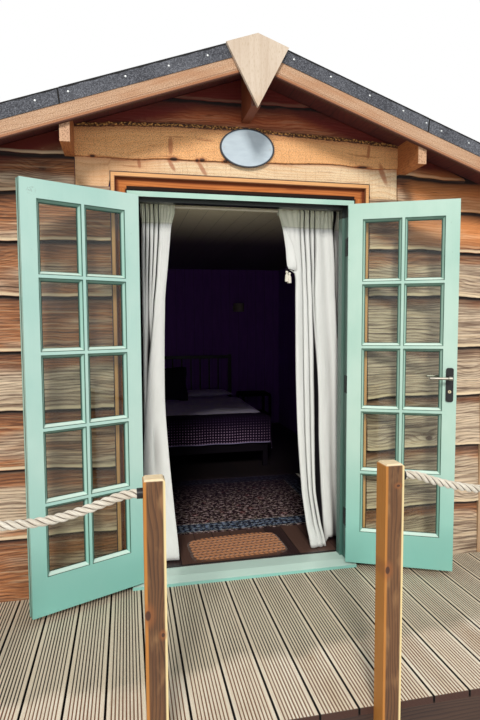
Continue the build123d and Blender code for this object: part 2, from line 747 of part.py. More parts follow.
def rope(route):
    """A tube along straight runs joined by arcs as large as the runs allow."""
    points = [Vector(x, POST_CENTRE_Y, z) for x, z in route]
    radii = []
    for before, here, after in zip(points, points[1:], points[2:]):
        turn = math.radians((here - before).get_angle(after - here))
        shorter = min((here - before).length, (after - here).length)
        radii.append(0.45 * shorter / math.tan(turn / 2))
    print("rope radii", [round(radius) for radius in radii])
    path = FilletPolyline(*points, radius=radii)
    outline = RegularPolygon(ROPE_DIAMETER / 2, ROPE_SIDES)
    tube = sweep(Plane(origin=points[0], z_dir=points[1] - points[0]) * outline, path=path)
    print("rope length", round(path.length), "volume over section times length",
          round(tube.volume / (path.length * outline.area), 4))
    return tube


# Room
def curtain_rod():
    rod = rod_x(ROD_Y, ROD_Z, ROD_RADIUS, -ROD_HALF, ROD_HALF)
    for side in (-1, 1):
        x = side * (ROD_HALF - ROD_BRACKET_INSET)
        rod += rod_y(x, ROD_Z, ROD_BRACKET_RADIUS, WALL_THICK, ROD_Y)
        rod += rod_y(x, ROD_Z, ROD_ROSE_RADIUS, WALL_THICK, WALL_THICK + ROD_ROSE_THICK)
    return rod


def curtain(inner_edge, side):
    """A gathered curtain as a flat bundle under the rod; inner_edge is its free edge, hem to top."""
    top = ROD_Z - ROD_RADIUS - SEAT_GAP
    edge = [(side * x, z) for x, z in inner_edge]
    outline = [*edge, (edge[-1][0], top), (side * CURTAIN_OUTER, top), (side * CURTAIN_OUTER, CURTAIN_HEM)]
    return across(outline, ROD_Y - CURTAIN_DEPTH / 2, ROD_Y + CURTAIN_DEPTH / 2)


def doormat():
    outline = RectangleRounded(MAT_LENGTH, MAT_DEPTH, MAT_CORNER)
    place = Pos(0, MAT_CENTRE_Y, FLOOR_TOP + SEAT_GAP) * Rot(0, 0, MAT_TURN)
    return extrude(place * outline, amount=MAT_THICK)


def rug():
    half, low = RUG_WIDTH / 2, FLOOR_TOP + SEAT_GAP
    return block(-half, half, RUG_FRONT_Y, RUG_FRONT_Y + RUG_DEPTH, low, low + RUG_THICK)


def headboard():
    """Posts, two rails and upright square bars."""
    y0, y1 = BED_HEAD_Y, BED_HEAD_Y + BED_POST
    middle = (y0 + y1) / 2
    rail = BED_RAIL_SQUARE / 2
    board = block(-BED_HALF, BED_HALF, middle - rail, middle + rail,
                  HEADBOARD_TOP - HEADBOARD_RAIL, HEADBOARD_TOP)
    board += block(-BED_HALF, BED_HALF, middle - rail, middle + rail,
                   HEADBOARD_LOW_RAIL - HEADBOARD_RAIL, HEADBOARD_LOW_RAIL)
    for side in (-1, 1):
        x0, x1 = sorted((side * BED_HALF, side * (BED_HALF + BED_POST)))
        board += block(x0, x1, y0, y1, FLOOR_TOP, HEADBOARD_TOP + BED_POST / 4)
    bar = HEADBOARD_BAR / 2
    for number in range(HEADBOARD_BARS):
        x = (number - (HEADBOARD_BARS - 1) / 2) * BAR_PITCH
        board += block(x - bar, x + bar, middle - bar, middle + bar,
                       HEADBOARD_LOW_RAIL, HEADBOARD_TOP - HEADBOARD_RAIL)
    return board


def bed_base():
    """Rails and a slatted platform on legs at the foot; the headboard carries the other end."""
    low = MATTRESS_BOTTOM - BED_RAIL_HEIGHT
    foot = BED_FOOT_Y + DUVET_THICK + BLANKET_THICK
    base = block(-BED_HALF, BED_HALF, foot, BED_HEAD_Y, low, MATTRESS_BOTTOM)
    base -= block(-BED_HALF + BED_RAIL_THICK, BED_HALF - BED_RAIL_THICK, foot + BED_RAIL_THICK,
                  BED_HEAD_Y - BED_RAIL_THICK, low - 1, MATTRESS_BOTTOM - BED_RAIL_THICK)
    for side in (-1, 1):
        x0, x1 = sorted((side * BED_HALF, side * (BED_HALF - BED_LEG)))
        base += block(x0, x1, foot, foot + BED_LEG, FLOOR_TOP, low)
    return base


def mattress():
    foot = BED_FOOT_Y + DUVET_THICK + BLANKET_THICK
    body = block(-BED_HALF, BED_HALF, foot, BED_HEAD_Y - SEAT_GAP, MATTRESS_BOTTOM, MATTRESS_TOP)
    return fillet(body.edges().filter_by(Axis.Z), MATTRESS_CORNER)


def cover(inner_half, thick, foot, head, low, inner_top, top_thick):
    """A bed cover that hangs over the foot and both sides."""
    outer = block(-inner_half - thick, inner_half + thick, foot, head, low, inner_top + top_thick)
    return outer - block(-inner_half, inner_half, foot + thick, head + 1, low - 1, inner_top)


def duvet():
    return cover(BED_HALF + SEAT_GAP, DUVET_THICK - 2 * SEAT_GAP, BED_FOOT_Y + BLANKET_THICK + SEAT_GAP,
                 DUVET_HEAD_Y, DUVET_HEM, MATTRESS_TOP + SEAT_GAP, DUVET_TOP_THICK)


def blanket():
    return cover(BED_HALF + DUVET_THICK, BLANKET_THICK, BED_FOOT_Y, BED_FOOT_Y + BLANKET_OVER_FOOT,
                 BLANKET_HEM, MATTRESS_TOP + DUVET_TOP_THICK + 2 * SEAT_GAP, BLANKET_THICK)


def pillow(x, y):
    z = MATTRESS_TOP + SEAT_GAP + PILLOW_THICK / 2
    body = Pos(x, y, z) * Box(PILLOW_WIDTH, PILLOW_DEPTH, PILLOW_THICK)
    return fillet(body.edges().filter_by(Axis.Z), PILLOW_CORNER)


def pillows():
    front = DUVET_HEAD_Y + SEAT_GAP + PILLOW_DEPTH / 2
    x = (PILLOW_WIDTH + PILLOW_GAP) / 2
    return [pillow(-x, front), pillow(x, front)]


def cushion():
    """A square cushion that leans back towards the pillows."""
    body = Box(CUSHION_SIDE, CUSHION_THICK, CUSHION_SIDE)
    body = fillet(body.edges().filter_by(Axis.Y), CUSHION_CORNER)
    lean = math.radians(CUSHION_LEAN)
    half_height = (CUSHION_SIDE * math.cos(lean) + CUSHION_THICK * math.sin(lean)) / 2
    z = MATTRESS_TOP + DUVET_TOP_THICK + 2 * SEAT_GAP + half_height
    y = DUVET_HEAD_Y - CUSHION_FROM_PILLOWS
    return Pos(CUSHION_X, y, z) * Rot(-CUSHION_LEAN, 0, 0) * body


def bedside_table():
    """A small table with a lower shelf on four square legs."""
    x0, x1 = TABLE_X, TABLE_X + TABLE_SIDE
    y1 = ROOM_BACK - BED_POST
    y0 = y1 - TABLE_SIDE
    table = block(x0, x1, y0, y1, TABLE_TOP_Z - TABLE_TOP_THICK, TABLE_TOP_Z)
    inset = TABLE_LEG / 2
    shelf = TABLE_SHELF_Z
    table += block(x0 + inset, x1 - inset, y0 + inset, y1 - inset, shelf - TABLE_TOP_THICK, shelf)
    for x in (x0, x1 - TABLE_LEG):
        for y in (y0, y1 - TABLE_LEG):
            table += block(x, x + TABLE_LEG, y, y + TABLE_LEG, FLOOR_TOP, TABLE_TOP_Z - TABLE_TOP_THICK)
    return table


def wall_light():
    """A round plate on the back wall, a short arm and a drum shade."""
    arm_end = ROOM_BACK - LIGHT_ARM_LENGTH - LIGHT_SHADE_RADIUS
    light = rod_y(LIGHT_X, LIGHT_Z, LIGHT_PLATE_RADIUS, ROOM_BACK - LIGHT_PLATE_THICK, ROOM_BACK)
    light += rod_y(LIGHT_X, LIGHT_Z, LIGHT_ARM_RADIUS, arm_end, ROOM_BACK)
    light += rod_z(LIGHT_X, arm_end, LIGHT_SHADE_RADIUS, LIGHT_Z - LIGHT_SHADE_HEIGHT / 2,
                   LIGHT_Z + LIGHT_SHADE_HEIGHT / 2)
    return light


os.makedirs("parts", exist_ok=True)
save("foundation_pads", *foundation_pads())
save("floor_bearers", *floor_bearers())
save("floor_frame", *floor_frame())
save("floor", block(-ROOM_HALF, ROOM_HALF, WALL_THICK, ROOM_BACK, FRAME_LEVEL, FLOOR_TOP))
front_right = block(OPENING_HALF, HALF_WIDTH, 0, WALL_THICK, FRAME_LEVEL, OPENING_TOP)
save("front_wall_left", mirrored(front_right))
save("front_wall_right", front_right)
save("front_gable_wall", gable(OPENING_TOP, 0, WALL_THICK))
save("left_wall", mirrored(side_wall()))
save("right_wall", side_wall())
save("back_wall", gable(FRAME_LEVEL, ROOM_BACK, BUILDING_DEPTH))
save("ceiling", block(-ROOM_HALF, ROOM_HALF, WALL_THICK, ROOM_BACK,
                      CEILING_UNDERSIDE, CEILING_UNDERSIDE + CEILING_THICK))
save("corner_boards", *corner_boards())

save("roof_panel_left", mirrored(roof_panel()))
save("roof_panel_right", roof_panel())
save("roof_felt", *both_sides(roof_felt()))
save("ridge_cap", ridge_cap())
save("bargeboards", *bargeboards())
save("eaves_fascias", *eaves_fascias())
save("verge_felt", *verge_felt())
save("roof_beams", *roof_beams())
save("apex_plates", *apex_plates())

save("header_board", header_board())
save("name_plaque", name_plaque())
save("door_trim", *three_sided(TRIM_OUTER, OPENING_HALF, HEADER_BOTTOM, OPENING_TOP, -TRIM_PROUD, 0,
                               DECK_TOP))
save("door_lining", *three_sided(OPENING_HALF, FRAME_HALF, OPENING_TOP, FRAME_TOP, 0, WALL_THICK,
                                 FRAME_LEVEL))
save("door_frame", *door_frame())
save("door_sill", door_sill())

save("left_door_leaf", swing_left(leaf_frame()))
save("left_door_glass", *(swing_left(sheet) for sheet in glazing()))
save("left_hinge_flaps", *(swing_left(flap) for flap in leaf_hinges()))
save("right_door_leaf", swing_right(right_leaf()))
save("right_door_glass", *(swing_right(mirrored(sheet)) for sheet in glazing()))
save("right_hinge_flaps", *(swing_right(mirrored(flap)) for flap in leaf_hinges()))
save("frame_hinge_flaps", *fixed_hinges(), *(mirrored(flap) for flap in fixed_hinges()))
save("lock_plates", *(swing_right(plate) for plate in lock_plates()))
save("door_handle", swing_right(door_handle()))

save("deck_boards", *deck_boards())
save("deck_frame", *deck_frame())
save("deck_posts", *deck_posts())
save("rope_sockets", *rope_sockets())
save("rope_left", rope(LEFT_ROPE_ROUTE))
save("rope_right", rope(RIGHT_ROPE_ROUTE))

save("curtain_rod", curtain_rod())
save("curtain_left", curtain(LEFT_CURTAIN_EDGE, -1))
save("curtain_right", curtain(RIGHT_CURTAIN_EDGE, 1))
save("doormat", doormat())
save("rug", rug())
save("bed_headboard", headboard())
save("bed_base", bed_base())
save("mattress", mattress())
save("duvet", duvet())
save("blanket", blanket())
save("pillows", *pillows())
save("cushion", cushion())
save("bedside_table", bedside_table())
save("wall_light", wall_light())
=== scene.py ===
# %% [markdown]
# # A timber holiday lodge
# The lodge's construction arrives as a fixed model: walls, roof, doors, deck and the furniture that
# shows through the doorway. This lesson gives it its looks. Every size below is in metres, in the
# same frame as the construction, so a new piece simply goes where the model says.

# %% Load the fixed model
import json
import math

import bmesh
import bpy
from mathutils import Matrix, Vector, noise

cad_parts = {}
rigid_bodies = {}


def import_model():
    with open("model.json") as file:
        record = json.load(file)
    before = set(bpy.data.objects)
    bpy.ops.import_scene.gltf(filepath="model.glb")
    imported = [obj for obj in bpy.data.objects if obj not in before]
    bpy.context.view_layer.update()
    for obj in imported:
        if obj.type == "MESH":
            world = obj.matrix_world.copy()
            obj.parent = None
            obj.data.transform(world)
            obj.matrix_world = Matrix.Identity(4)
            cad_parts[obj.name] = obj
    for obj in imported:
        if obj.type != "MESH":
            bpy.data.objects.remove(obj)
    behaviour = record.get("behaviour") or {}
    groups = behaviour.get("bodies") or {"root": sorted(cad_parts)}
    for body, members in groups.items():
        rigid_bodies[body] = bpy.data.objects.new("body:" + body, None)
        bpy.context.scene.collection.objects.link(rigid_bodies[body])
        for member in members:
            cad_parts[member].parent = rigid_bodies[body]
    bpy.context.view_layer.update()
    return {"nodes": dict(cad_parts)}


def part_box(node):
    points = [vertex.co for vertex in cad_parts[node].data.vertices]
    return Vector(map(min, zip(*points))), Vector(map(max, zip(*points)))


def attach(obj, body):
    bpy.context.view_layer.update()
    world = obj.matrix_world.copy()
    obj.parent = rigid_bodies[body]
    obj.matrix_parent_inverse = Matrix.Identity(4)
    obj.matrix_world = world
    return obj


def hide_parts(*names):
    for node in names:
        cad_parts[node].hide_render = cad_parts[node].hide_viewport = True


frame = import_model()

# %% [markdown]
# ## The camera
# The camera stands on the ground in front of the deck, a little to the left, and looks slightly
# right and down. A perspective camera is placed by its own three axes, so that its small roll is
# kept. The long side of the picture is its height, and the lens is given for that side.

# %% Camera
EYE = Vector((-0.6397, -2.8455, 1.6069))
YAW, PITCH, ROLL = math.radians(11.9966), math.radians(3.9451), math.radians(-0.2722)
forward = Vector((math.sin(YAW) * math.cos(PITCH), math.cos(YAW) * math.cos(PITCH), -math.sin(PITCH)))
level_right = Vector((math.cos(YAW), -math.sin(YAW), 0))
level_down = forward.cross(level_right)
right = math.cos(ROLL) * level_right - math.sin(ROLL) * level_down
down = math.sin(ROLL) * level_right + math.cos(ROLL) * level_down
lens = bpy.data.cameras.new("camera")
lens.sensor_width, lens.lens, lens.clip_start, lens.clip_end = 36, 26.64, 0.05, 100
camera = bpy.data.objects.new("camera", lens)
camera.matrix_world = Matrix.Translation(EYE) @ Matrix((right, -down, -forward)).transposed().to_4x4()
bpy.context.scene.collection.objects.link(camera)
bpy.context.scene.camera = camera
print("camera looks along", tuple(round(v, 3) for v in forward))

# %% [markdown]
# ## Shader sums as Python
# Every finish below is a small set of sums on numbers that change over a surface. `Value` wraps a
# socket, so that `1 - mask * 0.5` adds the Math nodes by itself. `Finish` holds one material and
# adds any other node: its settings first, then the values or links of its sockets. A colour is
# three numbers from 0 to 255. `cloud` is noise over the place on the piece, `flow` is noise along
# and across its grain or weave, and `darken` lays one more colour over the ones below it.

# %% A value and a finish
def operation(name, swapped=False):
    def combine(self, other=0.0):
        pair = (other, self) if swapped else (self, other)
        return self.finish.node("ShaderNodeMath", {"operation": name}, {0: pair[0], 1: pair[1]})
    return combine


class Value:
    def __init__(self, finish, socket):
        self.finish, self.socket = finish, socket

    __add__ = __radd__ = operation("ADD")
    __mul__ = __rmul__ = operation("MULTIPLY")
    __sub__, __rsub__ = operation("SUBTRACT"), operation("SUBTRACT", swapped=True)
    __truediv__, __pow__ = operation("DIVIDE"), operation("POWER")
    over, least, most = operation("GREATER_THAN"), operation("MINIMUM"), operation("MAXIMUM")
    part, sine, size, whole = operation("FRACT"), operation("SINE"), operation("ABSOLUTE"), operation("FLOOR")

    def fade(self, start, end, low=0.0, high=1.0):
        """Smoothly from low at start to high at end."""
        settings = {"interpolation_type": "SMOOTHSTEP"}
        return self.finish.node("ShaderNodeMapRange", settings, {0: self, 1: start, 2: end, 3: low, 4: high})


class Finish:
    def __init__(self, name, owner=None, **fixed):
        self.material = owner or bpy.data.materials.new(name)
        self.material.use_nodes = True
        self.tree = self.material.node_tree
        self.shader = self.tree.nodes.get("Principled BSDF")
        self.places, self.grain, self.colour = {}, None, None
        for socket, value in fixed.items():
            self.shader.inputs[socket.replace("_", " ")].default_value = value

    def node(self, kind, settings=None, sockets=None, output=0):
        made = self.tree.nodes.new(kind)
        for key, value in (settings or {}).items():
            setattr(made, key, value)
        for key, value in (sockets or {}).items():
            if isinstance(value, Value):
                self.tree.links.new(value.socket, made.inputs[key])
            else:
                made.inputs[key].default_value = value
        return Value(self, made.outputs[output])

    def place(self, kind="Object"):
        """The three numbers of the place on the piece, of its UV map, or of where its surface faces."""
        if kind not in self.places:
            where = {0: self.node("ShaderNodeTexCoord", output=kind)}
            self.places[kind] = [self.node("ShaderNodeSeparateXYZ", None, where, axis) for axis in range(3)]
        return self.places[kind]

    def spot(self, x, y=0.0, z=0.0):
        return self.node("ShaderNodeCombineXYZ", None, {0: x, 1: y, 2: z})

    def noise(self, vector, detail=2.0, rough=0.5, bend=0.0):
        sockets = {"Vector": vector, "Scale": 1.0, "Detail": detail, "Roughness": rough, "Distortion": bend}
        return self.node("ShaderNodeTexNoise", None, sockets)

    def cloud(self, scale, **looks):
        """Noise over the place on the piece, with one scale or a scale for each axis."""
        scales = scale if isinstance(scale, tuple) else (scale,) * 3
        return self.noise(self.spot(*(at * each for at, each in zip(self.place(), scales))), **looks)

    def flow(self, along, across, seed=0.0, **looks):
        """Noise along and across the grain, or over the UV map of a piece without grain."""
        s, t = self.grain or self.place("UV")[:2]
        return self.noise(self.spot(s * along, t * across, seed), **looks)

    def cells(self, vector, output="Distance", feature="F1"):
        return self.node("ShaderNodeTexVoronoi", {"feature": feature}, {"Vector": vector, "Scale": 1.0}, output)

    def mix(self, factor, first, second):
        first, second = (paint(*colour) if isinstance(colour, tuple) else colour for colour in (first, second))
        return self.node("ShaderNodeMix", {"data_type": "RGBA"}, {0: factor, 6: first, 7: second}, 2)

    def darken(self, mask, colour, most=1.0):
        """Lay another colour over the present one where the mask is 1."""
        self.colour = self.mix(mask * most, self.colour, colour)
        return self

    def give(self, socket, value):
        self.tree.links.new(value.socket, self.shader.inputs[socket])

    def bump(self, height, depth):
        """Raise the surface by height times depth, in metres."""
        self.give("Normal", self.node("ShaderNodeBump", None, {"Height": height, "Distance": depth}))

    def mark(self, name):
        """A number that the piece's mesh keeps at its corners."""
        return self.node("ShaderNodeAttribute", {"attribute_name": name}, None, "Fac")

    def oval(self, across, up, x, z, wide, tall, slant=0.0):
        """The distance from the middle of an oval at x, z, squared, and 1 on its rim."""
        aside, above = (across - x - (up - z) * slant) / wide, (up - z) / tall
        return aside * aside + above * above

    def seal(self, depth=0.0006, relief=None):
        """Connect the finished colour, and the relief as a bump."""
        self.give("Base Color", self.colour)
        self.bump(relief or self.relief, depth)


def dress(finish, *nodes):
    """Give CAD nodes this finish in place of their plain one."""
    for name in nodes:
        for place in frame["nodes"][name].material_slots:
            place.material = finish.material


def paint(red, green, blue):
    """A colour as a picture writes it, 0 to 255, as the shader needs it."""
    linear = [((c / 255 + 0.055) / 1.055) ** 2.4 for c in (red, green, blue)]
    return (*linear, 1.0)


print("shader helpers are ready")

# %% [markdown]
# ## Light and floor
# An open white sky lights everything softly, and one large soft lamp stands for the sun, high on
# the left in front of the lodge. The sky is brighter for the eye and for mirrors than for the
# surfaces that it lights: a Light Path node tells the rays apart, so the background is white and
# the timber keeps its own colour. The floor is a plain pale plane that catches the shadow.

# %% Sky, sun and floor
bpy.context.scene.view_settings.view_transform = "Standard"
world = bpy.data.worlds.new("studio sky")
bpy.context.scene.world = world
sky = Finish("studio sky", owner=world)
seen = [sky.node("ShaderNodeLightPath", output=ray) for ray in
        ("Is Camera Ray", "Is Glossy Ray", "Is Transmission Ray")]
SKY_LIGHT = 0.52
sky_strength = SKY_LIGHT + (1 - SKY_LIGHT) * seen[0].most(seen[1]).most(seen[2])
background = sky.node("ShaderNodeBackground", None, {"Color": (1, 1, 1, 1), "Strength": sky_strength})
sky.tree.links.new(background.socket, sky.tree.nodes["World Output"].inputs["Surface"])

sun_lamp = bpy.data.lights.new("sun", "SUN")
sun_lamp.energy, sun_lamp.angle, sun_lamp.color = 2.3, math.radians(12), (1.0, 0.95, 0.87)
sun = bpy.data.objects.new("sun", sun_lamp)
sun.rotation_euler = (math.radians(55), 0, math.radians(-14))
bpy.context.scene.collection.objects.link(sun)


def link_mesh(name, bm, finish):
    """The finished bmesh as an object at the origin, smooth except at its sharp edges."""
    mesh = bpy.data.meshes.new(name)
    bm.to_mesh(mesh)
    bm.free()
    for face in mesh.polygons:
        face.use_smooth = True
    mesh.set_sharp_from_angle(angle=math.radians(38))
    mesh.materials.append(finish.material)
    made = bpy.data.objects.new(name, mesh)
    bpy.context.scene.collection.objects.link(made)
    return made


floor_bm = bmesh.new()
bmesh.ops.create_grid(floor_bm, x_segments=1, y_segments=1, size=14)
floor_finish = Finish("studio floor", Base_Color=(0.86, 0.86, 0.85, 1), Roughness=0.9)
link_mesh("studio_floor", floor_bm, floor_finish)
print("sky, sun and floor are in")

# %% [markdown]
# ## Grids that become pieces
# Boards, cloth and rope strands are all a flat grid that was bent into place. `bend_grid` makes the
# grid with a bmesh operator, moves every corner to `place(u, v)` and keeps the way along and across
# the piece as its UV map, so that grain and weave follow the surface. `marks` are more numbers that
# a finish may want at each corner, such as how far it lies from the board above.

# %% The grid helper and the finished piece
def bend_grid(bm, columns, rows, place, stretch=(1.0, 1.0), shift=(0.0, 0.0), marks=()):
    """A grid in bm with its corners at place(u, v), u and v from 0 to 1. Returns its faces."""
    known = bm.verts.layers.float
    layers = [(known.get(name) or known.new(name), value) for name, value in marks]
    corners = bmesh.ops.create_grid(bm, x_segments=columns, y_segments=rows, size=0.5)["verts"]
    uv = bm.loops.layers.uv.verify()
    spots = {corner: (corner.co.x + 0.5, corner.co.y + 0.5) for corner in corners}
    faces = list({face for corner in corners for face in corner.link_faces})
    for face in faces:
        for loop in face.loops:
            u, v = spots[loop.vert]
            loop[uv].uv = (u * stretch[0] + shift[0], v * stretch[1] + shift[1])
    for corner, (u, v) in spots.items():
        corner.co = place(u, v)
        for layer, value in layers:
            corner[layer] = value(u, v)
    bm.normal_update()
    return faces


def finish_piece(name, bm, finish, body="building", outwards=True):
    """Close doubled corners, face outwards, and let the piece ride on its body."""
    bmesh.ops.remove_doubles(bm, verts=bm.verts, dist=0.00002)
    if outwards:
        bmesh.ops.recalc_face_normals(bm, faces=bm.faces)
    made = link_mesh(name, bm, finish)
    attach(made, body)
    return made


def put(bm, corners, at, spread=(1, 1, 1), turned=0.0, axis="Z"):
    """Stretch corners about the origin, turn them and move them to their place."""
    matrix = Matrix.Translation(at) @ Matrix.Rotation(turned, 4, axis) @ Matrix.Diagonal((*spread, 1))
    bmesh.ops.transform(bm, verts=corners, matrix=matrix)


def ease_edges(bm, offset):
    """Round every edge a little."""
    bmesh.ops.bevel(bm, geom=bm.edges, offset=offset, segments=2, profile=0.5, affect="EDGES", material=-1)


def drop_rim(bm, edges, z):
    """Close a sheet to a solid: its rim goes down to z, and a flat face shuts it there."""
    skirt = bmesh.ops.extrude_edge_only(bm, edges=[edge for edge in edges if edge.is_boundary])["geom"]
    for corner in (part for part in skirt if isinstance(part, bmesh.types.BMVert)):
        corner.co.z = z
    bmesh.ops.edgeloop_fill(bm, edges=[part for part in skirt if isinstance(part, bmesh.types.BMEdge)])


print("grid helper is ready")

# %% [markdown]
# ## The ropes
# A rope between two posts is three strands laid round each other. It leaves its socket level, sags,
# and enters the next socket level. The sag is one smooth NURBS line through a few points of the
# route. The strands are grids bent into tubes that wind round that line, a third of a turn apart.

# %% Rope line and strands
ROPE_Y, ROPE_DIAMETER, TURN_LENGTH = -1.1538, 0.031, 0.088
STRAND_RADIUS, STRAND_OFFSET, STRAND_ROUND, STRAND_SHIFT, YARN = 0.00815, 0.00735, 0.042, 0.3, 0.0042
LEFT_ROUTE = [(-0.6175, 1.069), (-0.655, 1.069), (-0.712, 1.049), (-0.790, 1.0235), (-0.880, 1.0025),
              (-0.9801, 0.996), (-1.0802, 1.0025), (-1.1702, 1.0235), (-1.2482, 1.049),
              (-1.3052, 1.069), (-1.34275, 1.069)]
RIGHT_ROUTE = [(0.312, 1.069), (0.350, 1.069), (0.408, 1.047), (0.490, 1.021), (0.590, 0.9995),
               (0.710, 0.9835), (0.8434, 0.979), (0.9768, 0.9835), (1.0968, 0.9995),
               (1.1968, 1.021), (1.2788, 1.047), (1.3368, 1.069), (1.37475, 1.069)]


def smooth_line(name, route):
    """Points along a NURBS line that has the route's points as its control points."""
    curve = bpy.data.curves.new(name, "CURVE")
    curve.dimensions, curve.resolution_u = "3D", 14
    spline = curve.splines.new("NURBS")
    spline.points.add(len(route) - 1)
    for point, (x, z) in zip(spline.points, route):
        point.co = (x, ROPE_Y, z, 1)
    spline.order_u, spline.use_endpoint_u = 3, True
    guide = bpy.data.objects.new(name, curve)
    bpy.context.scene.collection.objects.link(guide)
    line = [corner.co.copy() for corner in bpy.data.meshes.new_from_object(guide).vertices]
    bpy.data.objects.remove(guide)
    return line


def along(line):
    """A function that gives the point and the heading at any length along the line."""
    travelled = [0.0]
    for first, second in zip(line, line[1:]):
        travelled.append(travelled[-1] + (second - first).length)

    def at(distance):
        distance = min(max(distance, 0.0), travelled[-1])
        k = next(i for i in range(1, len(line)) if distance <= travelled[i] + 1e-9)
        part = (distance - travelled[k - 1]) / (travelled[k] - travelled[k - 1])
        ahead = (line[min(k + 1, len(line) - 1)] - line[max(k - 2, 0)]).normalized()
        return line[k - 1].lerp(line[k], part), ahead
    return at, travelled[-1]


def lay_rope(name, route, finish):
    """Three strands wound round the route's smooth line. Returns the rope and its length."""
    line = smooth_line(name + "_line", route)
    at, length = along(line)
    bm = bmesh.new()
    for strand in range(3):
        def place(u, v, strand=strand):
            middle, ahead = at(u * length)
            side = Vector((0, 1, 0))
            up = ahead.cross(side).normalized()
            turn = math.tau * (u * length / TURN_LENGTH + strand / 3)
            out = math.cos(turn) * side + math.sin(turn) * up
            swing = math.tau * v
            round_it = math.cos(swing) * out + math.sin(swing) * ahead.cross(out)
            return middle + STRAND_OFFSET * out + STRAND_RADIUS * round_it
        rings = int(length / 0.0045)
        bend_grid(bm, rings, 12, place, stretch=(length, STRAND_ROUND), shift=(0, strand * STRAND_SHIFT))
    bmesh.ops.remove_doubles(bm, verts=bm.verts, dist=0.00002)
    bmesh.ops.holes_fill(bm, edges=bm.edges)
    rope = finish_piece(name, bm, finish)
    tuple(line[0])
    return rope, length


# %% [markdown]
# ### Rope fibre
# Cream rope yarn: fine threads that run slantwise round each strand, with painted shade in the
# grooves between them, and a little grey where hands and weather touched it.

# %% Rope finish and the two ropes
rope_fibre = Finish("rope fibre", Roughness=0.85, Sheen_Weight=0.3)
u, v, _ = rope_fibre.place("UV")
threads = ((u * 0.9 + v) * 2 * math.pi / YARN).sine() * 0.5 + 0.5
stain = rope_fibre.flow(22, 30, detail=3)
inward = ((v / STRAND_SHIFT).part() * (STRAND_SHIFT / STRAND_ROUND) * 2 - 1).size()
yarn = (threads * 0.55 + stain.fade(0.35, 0.7) * 0.45).least(1)
rope_fibre.colour = rope_fibre.mix(yarn, (196, 184, 164), (254, 251, 240))
# Painted shade: dark brown in the grooves between the strands.
rope_fibre.darken(inward.fade(0.40, 0.56, 0.9, 0), (92, 70, 52))
rope_fibre.seal(0.0009, threads + stain * 0.4)

for side, route in (("left", LEFT_ROUTE), ("right", RIGHT_ROUTE)):
    rope, length = lay_rope(side + "_rope", route, rope_fibre)
    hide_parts("rope_" + side)
    print(f"{side} rope is {length:.3f} m long")

# %% [markdown]
# ## Timber
# Sawn wood shows growth rings as long lines that wander along the board and close round each knot,
# with fine fibres along them. One height over the board gives all of that: the distance across the
# board, plus a slow noise, plus a hill at every knot. Lines of equal height are the rings. A Voronoi
# texture places the knots. `Timber` is a Finish with those sums already in it.

# %% Timber finish
ROOF_PITCH = math.radians(19.18)
RUN, RISE = math.cos(ROOF_PITCH), math.sin(ROOF_PITCH)


class Timber(Finish):
    def __init__(self, name, grain, pale, deep, knot, rings=70, wander=7, knots=0.05, sway=1.0, line=0.5,
                 **fixed):
        super().__init__(name, **{"Roughness": 0.6, **fixed})
        self.x, self.y, self.z = x, y, z = self.place()
        if grain == "UV":
            self.s, self.t = self.place("UV")[:2]
        elif grain == "slope":
            self.s, self.t = x.size() * RUN - z * RISE, x.size() * RISE + z * RUN + y
        elif grain == "frame":
            upright = x.size().over(0.6) * (1 - z.over(2.3))
            self.s = z * upright + x * (1 - upright)
            self.t = (x + y) * upright + (z + y) * (1 - upright)
        else:
            self.s, self.t = {"x": (x, y + z), "y": (y, x + z), "z": (z, x + y)}[grain]
        self.grain = s, t = self.s, self.t
        slow = self.noise(self.spot(s * 0.9 * sway, t * 5), detail=2)
        self.near = self.cells(self.spot(s * 2.1, t * 3.4, 3))
        hill = self.near.fade(0, 0.34, 1, 0)
        ring = (t * rings + slow * wander + hill * (2.4 if knots else 0)).part()
        self.late = late = ring.fade(0.35, 0.9) * ring.fade(0.93, 1.0, 1, 0)
        self.fibre = self.flow(16, 620, detail=3, rough=0.65)
        blotch = self.flow(2.4, 9, 7, detail=3)
        self.tone = late * line + self.fibre * 0.45 + blotch.fade(0.3, 0.75) * 0.4 - 0.12
        self.colour = self.mix(self.tone, pale, deep)
        if knots:
            self.darken(self.near.fade(knots, knots * 2.6, 0.55, 0), deep)
            self.darken(self.near.fade(knots * 0.55, knots, 0.92, 0), knot)
        self.relief = self.fibre * 0.6 - late * 0.5


print("timber finish is ready")

# %% [markdown]
# ### Frame timber, roof timber and trims
# The carcass is treated softwood, pale brown and rough. The joists under the deck are given a dark
# colour as painted shade. The bargeboards are rough sawn: pale orange with darker flecks. Along their
# lower edge a near-black line is painted shade, an orange strip above it is painted light for the
# underside catching the light, and a thin darker line lies above that. The boards under the roof run
# along the ridge, so a thin dark joint repeats down the slope, and their dark red brown is painted
# shade. The ridge beam is painted near black as shade, and the trim and lining have painted shade
# along their edges.

# %% Structural finishes
carcass = Timber("treated carcass", "x", (176, 148, 104), (120, 92, 58), (70, 46, 28), Roughness=0.8)
# The joists' dark colour is painted shade under the deck.
shaded_joist = Timber("joists in painted shade", "x", (74, 54, 44), (44, 30, 28), (28, 18, 18), Roughness=0.8)
fascia = Timber("eaves fascia", "y", (206, 154, 102), (160, 104, 62), (96, 56, 32), Roughness=0.75)
for finish, *nodes in ((carcass, "floor_bearers", "floor_frame"), (shaded_joist, "deck_frame"),
                       (fascia, "eaves_fascias")):
    finish.seal()
    dress(finish, *nodes)

